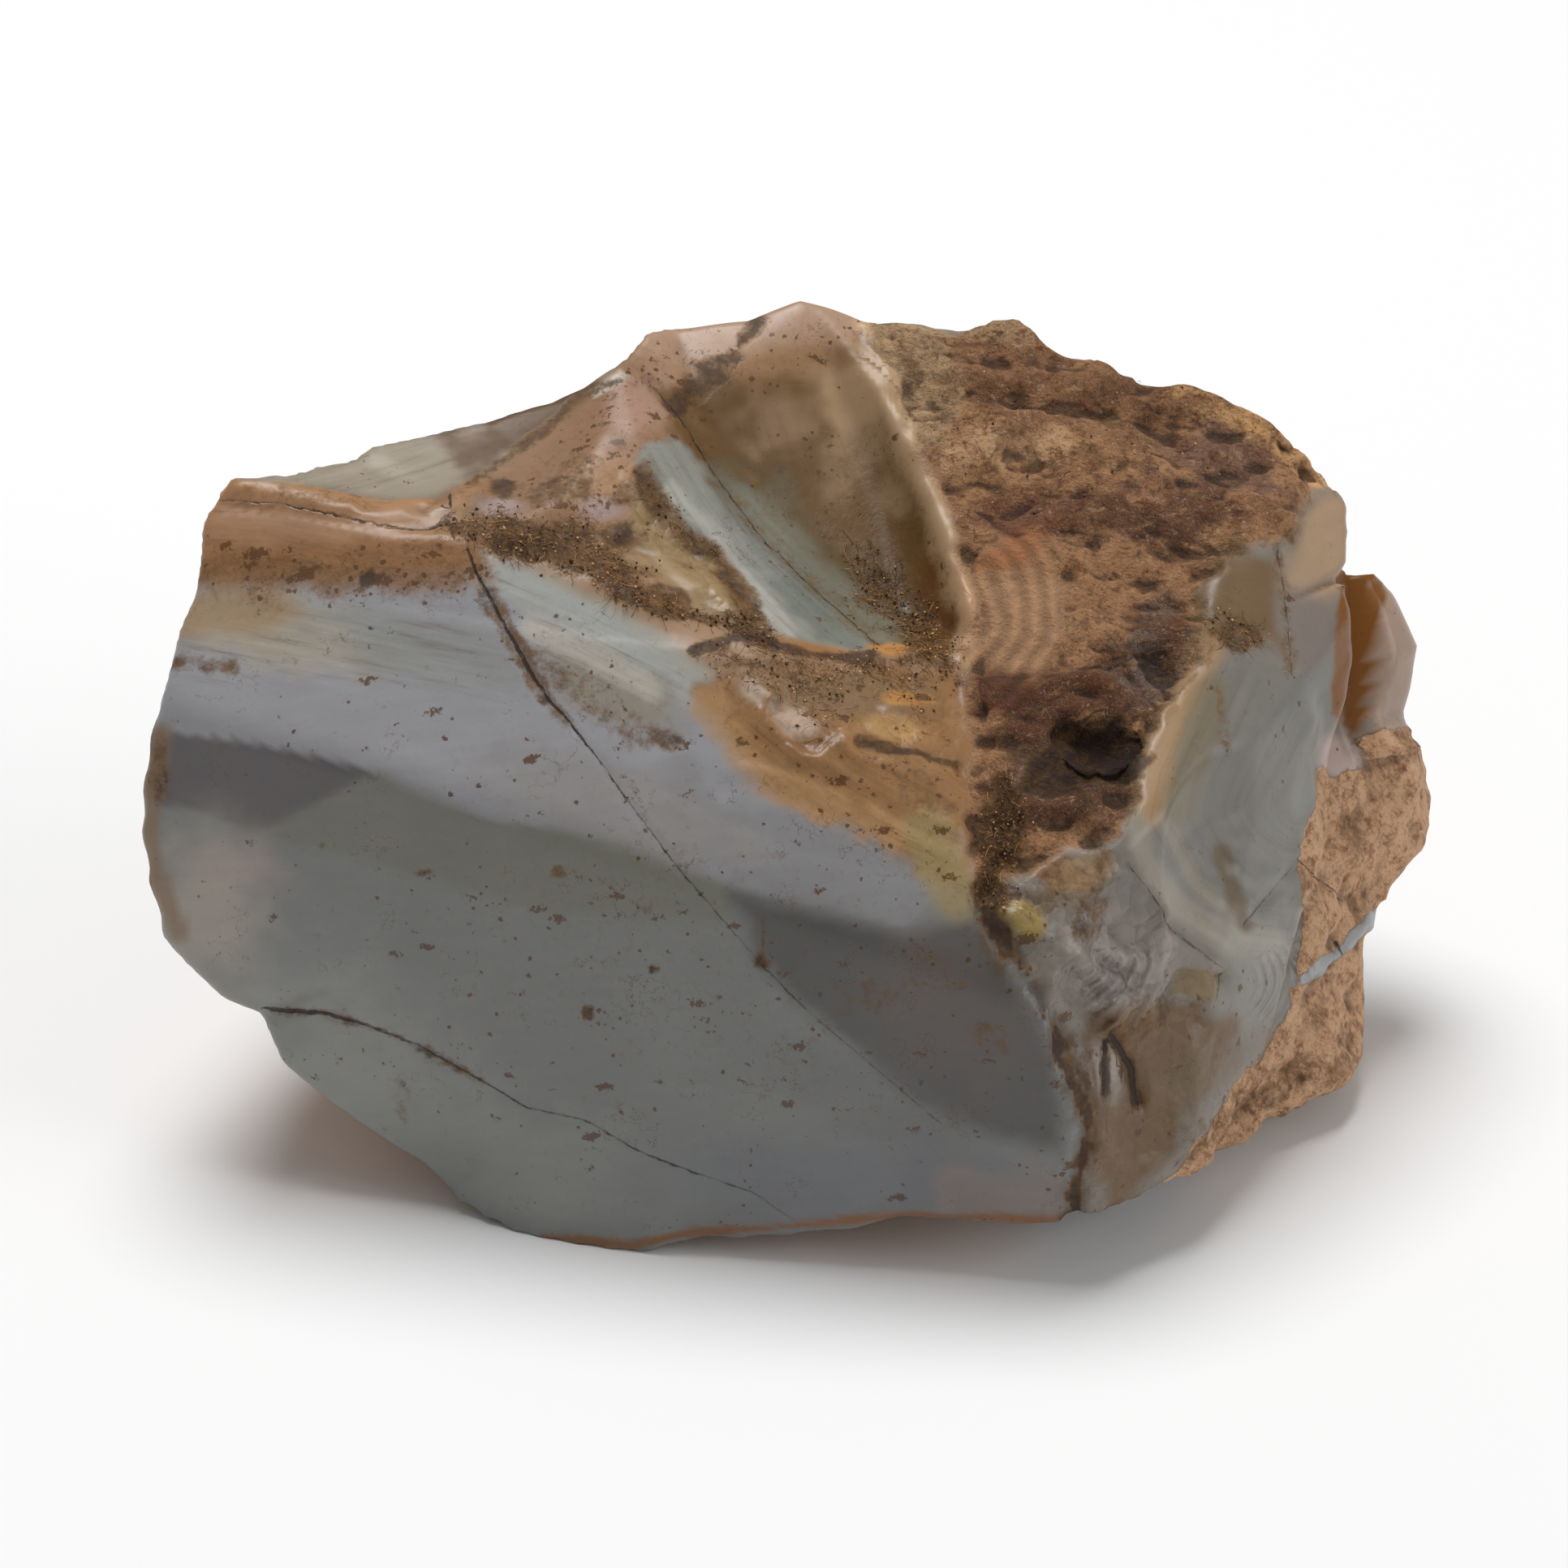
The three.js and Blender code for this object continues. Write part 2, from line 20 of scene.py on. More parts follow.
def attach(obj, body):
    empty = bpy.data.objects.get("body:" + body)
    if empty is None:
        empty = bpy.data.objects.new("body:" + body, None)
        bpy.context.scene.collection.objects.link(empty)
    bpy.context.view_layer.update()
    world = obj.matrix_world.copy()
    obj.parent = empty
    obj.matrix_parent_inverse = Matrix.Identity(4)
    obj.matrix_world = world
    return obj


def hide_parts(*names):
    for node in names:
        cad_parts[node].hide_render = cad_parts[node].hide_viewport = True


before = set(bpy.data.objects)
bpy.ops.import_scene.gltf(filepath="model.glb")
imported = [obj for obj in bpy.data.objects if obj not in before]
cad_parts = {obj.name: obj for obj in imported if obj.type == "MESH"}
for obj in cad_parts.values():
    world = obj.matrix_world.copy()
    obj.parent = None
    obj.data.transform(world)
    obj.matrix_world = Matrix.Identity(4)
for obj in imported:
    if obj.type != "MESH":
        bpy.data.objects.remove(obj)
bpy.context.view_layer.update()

log = logging.getLogger("rough opal")

Array = np.ndarray
Pair = tuple[float, float]
Triple = tuple[float, float, float]
Colour = tuple[int, int, int]

MM = 0.001  # metres in a millimetre
FAR = 500.0  # past any wall, in millimetres
OFF_LINE = 9.0  # beside any line, in millimetres
TURN = 2 * math.pi
NODE = "rough_opal"
BODY = "root"


def ease(share: Array) -> Array:
    """Smooth step: 3 t squared less 2 t cubed, with t held between 0 and 1.

    Args:
        share: how far along the step each value is.

    Returns:
        Values from 0 to 1.
    """
    t = np.clip(share, 0, 1)
    return t * t * (3 - 2 * t)


def unit(vectors: Array) -> Array:
    """Vectors at length 1."""
    return vectors / np.linalg.norm(vectors, axis=-1, keepdims=True)


def lesser(p: Array, q: Array, rounding: float) -> Array:
    """The smaller of two radii, with the corner between them rounded off.

    Args:
        p: first radii.
        q: second radii.
        rounding: how far the two may differ and still be blended.

    Returns:
        q + (p - q) s - rounding s (1 - s), where s runs from 0 to 1 across the blend.
    """
    if rounding == 0:
        return np.minimum(p, q)
    share = np.clip(0.5 + 0.5 * (q - p) / rounding, 0, 1)
    return q + (p - q) * share - rounding * share * (1 - share)


def greater(p: Array, q: Array, rounding: float) -> Array:
    """The larger of two radii, rounded as the lesser is."""
    return -lesser(-p, -q, rounding)


@dataclass(frozen=True)
class LeaningFrame:
    """A frame that leans with the broad front: across to the right, up the front, toward the eye."""

    lean_degrees: float = 30.0
    reach: float = 450.0

    @property
    def axes(self) -> Array:
        """The directions across, up and toward.

        Returns:
            Three rows of X, Y and Z.
        """
        lean = math.radians(self.lean_degrees)
        sine, cosine = math.sin(lean), math.cos(lean)
        return np.array([[1, 0, 0], [0, sine, cosine], [0, -cosine, sine]])

    def point(self, across: Array, up: Array, toward: Array) -> Array:
        """The place that lies so far across, up and toward."""
        return np.stack(np.broadcast_arrays(across, up, toward), axis=-1) @ self.axes

    def seen(self, across: Array, up: Array, toward: Array) -> Array:
        """The place seen at (across, up) from arm's length that lies at that depth."""
        shrink = (self.reach - toward) / self.reach
        return self.point(across * shrink, up * shrink, toward)

    def on_view(self, points: Array) -> tuple[Array, Array, Array]:
        """Where points are seen from arm's length.

        Args:
            points: places in X, Y and Z.

        Returns:
            How far across and up they are seen, and their depth toward the eye.
        """
        across, up, depth = (points @ axis for axis in self.axes)
        grow = self.reach / (self.reach - depth)
        return across * grow, up * grow, depth


VIEW = LeaningFrame()
HEART = VIEW.seen(6, 0, -12)
TOWARD = VIEW.axes[2]


@dataclass(frozen=True)
class Slope:
    """A face of the lump: toward = level + right * across + rise * up."""

    level: float
    right: float
    rise: float

    def toward(self, across: float, up: float) -> float:
        """Depth of the face at (across, up)."""
        return self.level + self.right * across + self.rise * up

    @property
    def out(self) -> Array:
        """The face's outward direction."""
        return unit(VIEW.point(-self.right, -self.rise, 1))


@dataclass(frozen=True)
class Wall:
    """A plane, or with a bulge a sphere of that radius that touches it. A negative one is hollow."""

    at: Array
    out: Array
    bulge: float = 0.0

    def meets(self, rays: Array) -> Array:
        """How far from the heart each ray meets the wall.

        Args:
            rays: directions of length 1.

        Returns:
            The root of the plane's or the sphere's equation along the ray, or FAR.
        """
        normal = unit(self.out)
        if self.bulge == 0:
            lean = rays @ normal
            distance = (self.at - HEART) @ normal
            return np.where(lean > 1e-6, np.minimum(distance / np.maximum(lean, 1e-6), FAR), FAR)
        offset = HEART - self.at + self.bulge * normal
        along = rays @ offset
        square = along**2 - (offset @ offset - self.bulge**2)
        root = np.sqrt(np.maximum(square, 0))
        if self.bulge > 0:
            return root - along
        near = -along - root
        return np.where((square > 0) & (near > 0), np.minimum(near, FAR), FAR)


@dataclass(frozen=True)
class Dent:
    """An ellipsoid bitten out of a face, with the half length, half width and depth of the bite."""

    at: Array
    out: Array
    long_way: Array
    length: float
    width: float
    depth: float
    lift: float = 1.5

    def meets(self, rays: Array) -> Array:
        """The near root of the ellipsoid's equation along each ray, or FAR where it misses.

        Args:
            rays: directions of length 1 from the heart.

        Returns:
            One distance for each ray.
        """
        along = unit(self.long_way - (self.long_way @ self.out) * self.out)
        axes = np.stack([along, np.cross(self.out, along), self.out])
        lift = self.lift * self.depth
        tall = self.depth + lift
        spread = math.sqrt(1 - (lift / tall) ** 2)
        radii = np.array([self.length / spread, self.width / spread, tall])
        start = (axes @ (HEART - self.at - lift * self.out)) / radii
        way = (rays @ axes.T) / radii
        a = (way**2).sum(-1)
        b = way @ start
        square = b**2 - a * (start @ start - 1)
        near = (-b - np.sqrt(np.maximum(square, 0))) / a
        return np.where((square > 0) & (near > 0), np.minimum(near, FAR), FAR)


@dataclass(frozen=True)
class Cut:
    """One or more walls that shorten the radius. Several walls together cut only where all do."""

    rounding: float
    walls: tuple[Wall | Dent, ...]
    hollow: float = 0.0

    def meets(self, rays: Array) -> Array:
        """The greatest of the walls' radii, rounded by the hollow's blend."""
        return reduce(lambda p, q: greater(p, q, self.hollow), [wall.meets(rays) for wall in self.walls])


def cut(rounding: float, *walls: Wall | Dent, hollow: float = 0.0) -> Cut:
    """A cut with these walls."""
    return Cut(rounding, walls, hollow)


def cuts(rounding: float, make: Callable[..., Wall | Dent], *rows: tuple) -> tuple[Cut, ...]:
    """One cut for each row, with the wall or the dent that is made from the row's values."""
    return tuple(cut(rounding, make(*row)) for row in rows)


def lean_wall(at: Triple, out: Triple, bulge: float = 0.0) -> Wall:
    """A wall given in the leaning frame."""
    return Wall(VIEW.point(*at), unit(VIEW.point(*out)), bulge)


def seen_wall(at: Triple, out: Triple, bulge: float = 0.0) -> Wall:
    """A wall through the place seen at (across, up) at that depth."""
    return Wall(VIEW.seen(*at), unit(VIEW.point(*out)), bulge)


def world_wall(at: Triple, out: Triple, bulge: float = 0.0) -> Wall:
    """A wall given in X, Y and Z."""
    return Wall(np.array(at, float), np.array(out, float), bulge)


def face(slope: Slope, bulge: float = 0.0, across: float = 0.0, up: float = 0.0) -> Wall:
    """A wall on a slope that touches it at (across, up)."""
    return Wall(VIEW.point(across, up, slope.toward(across, up)), slope.out, bulge)


def bite(slope: Slope, at: Pair, turned: Pair, length: float, width: float, depth: float) -> Dent:
    """A dent in a slope, its long way turned to (right, rise)."""
    place = VIEW.seen(*at, slope.toward(*at))
    return Dent(place, slope.out, VIEW.point(*turned, 0), length, width, depth)


def back_bite(at: Triple, out: Triple, length: float, width: float, depth: float) -> Dent:
    """A dent in the back or an end, in X, Y and Z."""
    long_way = np.array([1, 0.2, 0.3])
    return Dent(np.array(at, float), unit(np.array(out, float)), long_way, length, width, depth)


BASE_DROP = 23.4  # the underside lies this far below the view's origin
BASE_CENTRE = (0.94, 3.03)  # X and Y of the bounding box's middle

FRONT = Slope(18.9, 0.26, 0.5)
UPPER_FRONT = Slope(14.2, 0.065, -0.22)
TOP_LEFT = Slope(18.6, -0.309, -0.917)
SHELF = Slope(13.9, -0.1, -0.807)
LIP = Slope(15.9, -0.4, -0.63)
RIGHT_FACE = Slope(47.0, -1.449, 0.253)
LOWER_RIGHT = Slope(34.3, -0.93, 0.25)
CORNER_FACET = Slope(25.0, -0.6, -0.6)
HOLLOW_BED = Slope(25.4, -1.2, -1.672)
HOLLOW_WALL = Slope(-6.8, 1.21, -0.264)
HOLLOW_HEAD = Slope(7.3, -0.218, -0.554)
LEDGE_FLOOR = Slope(26.1, -0.558, -1.732)
LEDGE_WALL = Slope(11.8, -0.35, -0.6)
RIBBED_SCOOP = Slope(27.8, -0.024, -1.3)
CRUST_FRONT = Slope(36.1, -1.25, 0)
CRUST_CAP = Slope(-3, 0, -0.35)

ROUND_ABOUT = (
    *cuts(1, lean_wall,
        ((-38.2, -2, 2), (-1, 0.05, -0.3), 90),
        ((-36.2, 11, 2), (-1, 0.22, -0.3)),
        ((-35.8, -11.2, 0), (-0.75, -0.66, -0.4)),
        ((-26.2, -20.2, -4), (-0.62, -0.78, -0.5)),
        ((17.2, -27.2, 6), (0.05, -1, -0.45)),
        ((-22.5, 21.9, -1), (-0.4, 0.9, -0.55), 90)),
    cut(1.2, lean_wall((5, 29, -9), (0.06, 1, -0.45), 140)),
    cut(0, world_wall((0, 0, -BASE_DROP), (0, 0, -1))),
    *cuts(2, world_wall,
        ((0, 27, 0), (0, 1, 0.05), 150),
        ((28, 24, 0), (0.55, 0.83, 0), 110),
        ((-27, 17, 0), (-0.55, 0.83, 0.1), 110),
        ((0, 20, -16), (0, 0.8, -0.6), 110)),
    *cuts(0.6, back_bite,
        ((-9, 27, 3), (-0.1, 1, 0.05), 13, 9, 3),
        ((15, 27, -9), (0.2, 1, -0.2), 11, 8, 2.6),
        ((-26, 17, -8), (-0.6, 0.8, 0), 9, 7, 2.2),
        ((-39, 4, -4), (-1, 0.25, -0.1), 9, 6, 1.6),
        ((4, 21, -17), (0, 0.8, -0.6), 12, 6, 2)),
)
FRONT_FACES = (
    cut(0.8, face(FRONT, 330, -6, -12)),
    cut(1.2, face(UPPER_FRONT, 220, -12, 5)),
)
RIGHT_SIDE = (
    cut(0.8, face(RIGHT_FACE, 260, 24, -6)),
    cut(0.8, face(LOWER_RIGHT, 200, 24, -15)),
    cut(0.8, lean_wall((34.3, 4, -3), (0.985, -0.17, -0.3), 120)),
    cut(0.6, lean_wall((28.2, -18.0, -1.0), (0.8, -0.59, -0.12))),
    cut(0.3, bite(LOWER_RIGHT, (27.7, -1.7), (0.15, 1), 9.5, 5.6, 1.5)),
    *cuts(0.2, partial(bite, LOWER_RIGHT),
        ((16.7, -7.7), (1, -0.6), 4.2, 3.0, 1.0),
        ((21.0, -9.7), (1, -0.8), 4.4, 3.0, 1.0),
        ((24.7, -13.0), (1, -0.8), 4.2, 2.8, 0.9),
        ((18.2, -14.2), (0.3, -1), 4.4, 2.6, 0.8),
        ((22.7, -18.7), (0.4, -1), 6.4, 4.0, 0.8)),
)
TOP_SLOPE = cut(0.8, face(TOP_LEFT, 200, -10, 18))
SCOOP = cut(0.4, face(RIBBED_SCOOP, -45, -21, 18.7))
TOP_RIGHT = cut(1.5, lean_wall((30.5, 23.5, -9), (0.55, 0.83, -0.5), 90))

LEFT_BODY = (
    *ROUND_ABOUT, *FRONT_FACES, *RIGHT_SIDE, TOP_SLOPE, SCOOP,
    cut(0.7, face(HOLLOW_BED, -90, 0, 13)),
    cut(0.5, face(LEDGE_FLOOR), face(LEDGE_WALL)),
)
RIGHT_BODY = (
    *ROUND_ABOUT, *FRONT_FACES, *RIGHT_SIDE, TOP_RIGHT,
    cut(0.8, face(CORNER_FACET)),
    cut(1, face(SHELF, 400, 14, 12)),
    cut(0.6, face(HOLLOW_WALL, -60, 9, 12), face(HOLLOW_HEAD, -90, 2, 18), hollow=2),
    cut(0.4, bite(SHELF, (19.2, 3.3), (1, 0.3), 2.4, 2.0, 1.8)),
    *cuts(0.8, partial(bite, SHELF),
        ((15.2, 17.6), (1, 0.1), 3.6, 2.6, 0.7),
        ((27.2, 20.1), (1, -0.5), 4.2, 2.4, 0.8),
        ((13.7, -2.7), (0.4, 1), 3.0, 2.0, 0.8),
        ((23.2, 7.8), (1, 0.5), 4.0, 2.5, 0.7)),
)
LIP_BODY = (
    *ROUND_ABOUT, *FRONT_FACES, *RIGHT_SIDE,
    cut(0.5, lean_wall((2, 7.9, 10), (0.1, 0.95, 0.3))),
    cut(0.8, face(LIP)),
    *cuts(0.2, partial(bite, LIP),
        ((-0.3, 5.6), (1, -0.5), 4.5, 1.6, 0.9),
        ((4.7, 3.1), (1, -0.5), 4.4, 1.8, 1.0),
        ((2.2, 0.3), (1, -0.6), 4.0, 1.5, 0.8),
        ((7.7, -1.7), (1, -0.7), 3.6, 1.8, 0.9)),
)
CRUST_BODY = (
    *ROUND_ABOUT, *FRONT_FACES, TOP_SLOPE, SCOOP, TOP_RIGHT,
    cut(1, face(CRUST_CAP)),
    cut(1.5, face(CRUST_FRONT, 90, 36, -6)),
    cut(1.5, seen_wall((31.7, -18.2, -4.5), (0.58, -0.42, 0.7), 90)),
    cut(1.5, lean_wall((38.3, -7, -14), (0.977, -0.21, -0.2), 120)),
    cut(1.5, lean_wall((31, -21.6, -8), (0.5, -0.866, -0.25))),
)
FIN_BODY = (
    *ROUND_ABOUT,
    *cuts(0.4, seen_wall,
        ((36.7, 6.3, -8.6), (0.1, 0.02, 0.99)),
        ((36.9, 6.3, -8.6), (0.8, 0.05, 0.6))),
    *cuts(0.6, seen_wall,
        ((36.3, 12.9, -11), (0.1, 0.98, -0.1)),
        ((36.7, 1.8, -11), (0.25, -0.95, 0.1))),
    cut(0.8, lean_wall((38.8, 9, -12), (0.977, 0.21, -0.2))),
)

OUTLINE = (
    (-35.2, 17.2), (-33.8, 18.4), (-29.1, 19.1), (-26.3, 20.0), (-22.3, 21.4), (-18.1, 22.3),
    (-14.3, 23.5), (-12.3, 24.4), (-9.6, 26.0), (-8.3, 27.7), (-5.3, 28.0), (-2.1, 28.3),
    (1.0, 29.5), (3.5, 28.8), (4.8, 28.3), (10.7, 27.7), (15.0, 27.7), (17.3, 26.7),
    (22.0, 25.4), (25.7, 24.1), (29.7, 22.3), (33.5, 18.9), (34.5, 17.3), (34.4, 12.7),
    (36.2, 12.9), (37.4, 11.7), (39.0, 8.5), (38.4, 4.4), (39.6, 0.8), (39.5, -1.7),
    (36.5, -7.3), (35.5, -13.7), (35.6, -17.2), (35.1, -18.5), (32.6, -19.5), (26.7, -23.4),
    (20.7, -25.8), (17.2, -27.0), (10.7, -26.6), (7.2, -26.6), (0.5, -27.7), (-5.3, -27.8),
    (-8.8, -28.7), (-13.6, -28.1), (-16.3, -27.4), (-19.8, -25.5), (-22.3, -23.3), (-26.8, -20.3),
    (-30.6, -17.0), (-31.8, -14.0), (-34.1, -13.0), (-37.7, -9.5), (-38.9, -6.2), (-39.4, -3.0),
    (-39.3, -0.2), (-38.6, 4.1), (-37.7, 7.6), (-36.3, 11.6), (-35.7, 15.8),
)


@dataclass(frozen=True)
class LumpForm:
    """The plain broken form: several cut bodies joined in one radius."""

    bodies: tuple[tuple[Cut, ...], ...] = (LEFT_BODY, RIGHT_BODY, LIP_BODY, CRUST_BODY, FIN_BODY)
    blend: float = 0.5

    def radius(self, rays: Array) -> Array:
        """The radius of the joined bodies: the greatest of each body's least cut, both rounded.

        Args:
            rays: directions of length 1 from the heart.

        Returns:
            One radius for each ray.
        """
        known: dict[int, Array] = {}
        radii = []
        for body in self.bodies:
            radius = np.full(len(rays), FAR)
            for one in body:
                if id(one) not in known:
                    known[id(one)] = one.meets(rays)
                radius = lesser(radius, known[id(one)], one.rounding)
            radii.append(radius)
        return reduce(lambda p, q: greater(p, q, self.blend), radii)


@dataclass
class OutlineFit:
    """Draws the form in or out so that it fills the outline of the real lump.

    The broad part of the fit reaches far in, and the close part only works along the rim.
    """

    form: LumpForm
    steps: int = 360
    sweep_degrees: float = 75.0
    sweep_step: float = 1.5
    smoothing: int = 12
    broad_from: float = 0.35
    rim_from: float = 0.8
    angles: Array = field(init=False)
    widest: Array = field(init=False)
    broad: Array = field(init=False)
    outline: tuple[Array, Array] = field(init=False)
    centre: Pair = field(init=False)

    def __post_init__(self) -> None:
        """Measures the widest reach of the form in each direction and compares it with the outline."""
        self.centre = tuple(float(value) for value in VIEW.on_view(HEART)[:2])
        right, rise = (np.array(OUTLINE) - self.centre).T
        order = np.argsort(np.arctan2(rise, right))
        self.outline = (np.arctan2(rise, right)[order], np.hypot(right, rise)[order])
        self.angles = (np.arange(self.steps) + 0.5) / self.steps * TURN - math.pi
        count = round(2 * self.sweep_degrees / self.sweep_step) + 1
        tips = np.radians(-self.sweep_degrees + self.sweep_step * np.arange(count))
        angle, tip = (grid.ravel() for grid in np.meshgrid(self.angles, tips, indexing="ij"))
        rays = VIEW.point(np.cos(angle) * np.cos(tip), np.sin(angle) * np.cos(tip), np.sin(tip))
        across, up, _ = VIEW.on_view(HEART + rays * self.form.radius(rays)[:, None])
        reach = np.hypot(across - self.centre[0], up - self.centre[1])
        self.widest = reach.reshape(self.steps, count).max(axis=1)
        close = self._round(self.angles, *self.outline) / self.widest
        self.broad = self._average(self._average(close))

    @staticmethod
    def _round(angle: Array, angles: Array, values: Array) -> Array:
        """Reads a closed run of values at any angle."""
        return np.interp(angle, angles, values, period=TURN)

    def _average(self, values: Array) -> Array:
        """The mean of each value and its neighbours on either side, all the way round."""
        shifts = range(-self.smoothing, self.smoothing + 1)
        return sum(np.roll(values, shift) for shift in shifts) / len(shifts)

    def fit(self, points: Array) -> Array:
        """Scales each point's place on the view away from the centre, and keeps its depth.

        Args:
            points: places on the plain form.

        Returns:
            The places on the fitted form, none of them below the underside.
        """
        across, up, depth = VIEW.on_view(points)
        right, rise = across - self.centre[0], up - self.centre[1]
        angle = np.arctan2(rise, right)
        widest = self._round(angle, self.angles, self.widest)
        broad = self._round(angle, self.angles, self.broad)
        share = np.hypot(right, rise) / widest
        close = self._round(angle, *self.outline) / (widest * broad)
        pull = 1 + (broad - 1) * ease((share - self.broad_from) / (1 - self.broad_from))
        pull *= 1 + (close - 1) * ease((share - self.rim_from) / (1 - self.rim_from))
        fitted = VIEW.seen(self.centre[0] + right * pull, self.centre[1] + rise * pull, depth)
        fitted[:, 2] = np.maximum(fitted[:, 2], -BASE_DROP)
        return fitted


def lattice_value(corners: Array, seed: int) -> Array:
    """A fixed value from -1 to 1 for each whole-numbered corner, from a mix of its bits.

    Args:
        corners: whole numbers x, y, z along the last axis.
        seed: which pattern.

    Returns:
        One value for each corner.
    """
    x, y, z = np.moveaxis(corners.astype(np.int64).astype(np.uint32), -1, 0)
    start = np.uint32(seed * 1274126177 % 2**32)
    h = x * np.uint32(374761393) + y * np.uint32(668265263) + z * np.uint32(2147483647) + start
    h = (h ^ (h >> np.uint32(13))) * np.uint32(1103515245)
    h = (h ^ (h >> np.uint32(16))) * np.uint32(2246822519)
    return ((h ^ (h >> np.uint32(15))) & np.uint32(0xFFFFFF)) / 0xFFFFFF * 2 - 1


def noise(points: Array, size: float, seed: int) -> Array:
    """Lattice noise from -1 to 1: corner values "size" apart, blended by 6 t^5 - 15 t^4 + 10 t^3.

    Args:
        points: places.
        size: distance between corners.
        seed: which pattern.

    Returns:
        One value for each point.
    """
    scaled = points / size
    low = np.floor(scaled)
    t = scaled - low
    u, v, w = np.moveaxis(t * t * t * (t * (t * 6 - 15) + 10), -1, 0)

    def side(x: int, y: int) -> Array:
        """The values along one upright side of the cell, blended by height."""
        near = lattice_value(low + (x, y, 0), seed)
        return near + (lattice_value(low + (x, y, 1), seed) - near) * w

    near = side(0, 0) + (side(0, 1) - side(0, 0)) * v
    far = side(1, 0) + (side(1, 1) - side(1, 0)) * v
    return near + (far - near) * u


def inside_by(outline: Sequence[Pair], across: Array, up: Array) -> Array:
    """How far inside an outline each place is: the distance to its nearest side, minus outside.

    Args:
        outline: corners of a closed outline.
        across: places across.
        up: places up.

    Returns:
        Distances, above 0 inside.
    """
    nearest = np.full(across.shape, np.inf)
    inside = np.zeros(across.shape, bool)
    corners = list(outline)
    for (x0, y0), (x1, y1) in zip(corners[-1:] + corners[:-1], corners):
        edge = (x1 - x0, y1 - y0)
        share = ((across - x0) * edge[0] + (up - y0) * edge[1]) / (edge[0] ** 2 + edge[1] ** 2)
        t = np.clip(share, 0, 1)
        nearest = np.minimum(nearest, np.hypot(across - x0 - edge[0] * t, up - y0 - edge[1] * t))
        crosses = (y0 > up) != (y1 > up)
        run = edge[0] / edge[1] if edge[1] else 0.0
        inside ^= crosses & (across < x0 + run * (up - y0))
    return np.where(inside, nearest, -nearest)


def beside(path: Sequence[Pair], across: Array, up: Array) -> tuple[Array, Array, Array]:
    """Where places lie along a path of straight stretches.

    Args:
        path: the path's points.
        across: places across.
        up: places up.

    Returns:
        The signed distance to the path (above 0 to its left), how far along it the nearest point
        is as a share of its number of stretches, and the distance past its ends.
    """
    best = np.full(across.shape, np.inf)
    signed = np.zeros(across.shape)
    along = np.zeros(across.shape)
    past = np.zeros(across.shape)
    stretches = len(path) - 1
    for i, ((x0, y0), (x1, y1)) in enumerate(zip(path[:-1], path[1:])):
        edge = np.array([x1 - x0, y1 - y0])
        length = np.hypot(*edge)
        right, rise = across - x0, up - y0
        share = (right * edge[0] + rise * edge[1]) / length**2
        t = np.clip(share, 0, 1)
        distance = np.hypot(right - edge[0] * t, rise - edge[1] * t)
        side = np.where(edge[0] * rise - edge[1] * right < 0, -1.0, 1.0)
        nearer = distance < best
        best = np.where(nearer, distance, best)
        signed = np.where(nearer, side * distance, signed)
        along = np.where(nearer, (i + t) / stretches, along)
        beyond = np.zeros(across.shape)
        if i == 0:
            beyond = np.maximum(beyond, -share * length)
        if i == stretches - 1:
            beyond = np.maximum(beyond, (share - 1) * length)
        past = np.where(nearer, beyond, past)
    return signed, along, past


MATRIX = (
    (5, 28), (9.5, 18), (12, 10), (11.5, 2), (11, -5), (14.5, -6.5), (19.5, -3), (21.5, 2.5),
    (25, 8), (27, 12), (31, 17.5), (36, 19), (24, 30),
)
CRUST = ((31.5, 5), (40, 8), (41, -4), (37, -20), (23, -27), (23, -24), (31, -17), (32, -11))
SOIL_LEDGE = ((-20, 15.5), (-13, 12.5), (-7, 9.5), (8, 6), (9, 9), (-6, 12.5), (-14, 16.5))


@dataclass(frozen=True)
class Ripple:
    """One size of relief: lattice noise of that size and height."""

    size: float
    height: float
    seed: int

    def at(self, points: Array) -> Array:
        """The relief at each point."""
        return self.height * noise(points, self.size, self.seed)


@dataclass(frozen=True)
class StoneRelief:
    """How uneven the skin is: faint waves on clean opal, lumps and grit on matrix and crust."""

    wave: Ripple = Ripple(9, 0.22, 1)
    lump: Ripple = Ripple(5.2, 0.75, 2)
    grit: Ripple = Ripple(2.6, 0.35, 3)
    back_from: float = -13.0
    fade: float = 2.0

    def roughness(self, points: Array) -> Array:
        """How rough the stone is at each place.

        Args:
            points: places on the plain form.

        Returns:
            0 on clean opal and 1 on matrix, crust, soil and the back.
        """
        across, up, depth = VIEW.on_view(points)
        areas = [inside_by(area, across, up) for area in (MATRIX, CRUST, SOIL_LEDGE)]
        return ease(np.maximum.reduce([*areas, self.back_from - depth]) / self.fade + 0.5)

    def height(self, points: Array) -> Array:
        """Waves everywhere, and lumps and grit by the roughness."""
        rough = self.roughness(points)
        return self.wave.at(points) + rough * (self.lump.at(points) + self.grit.at(points))


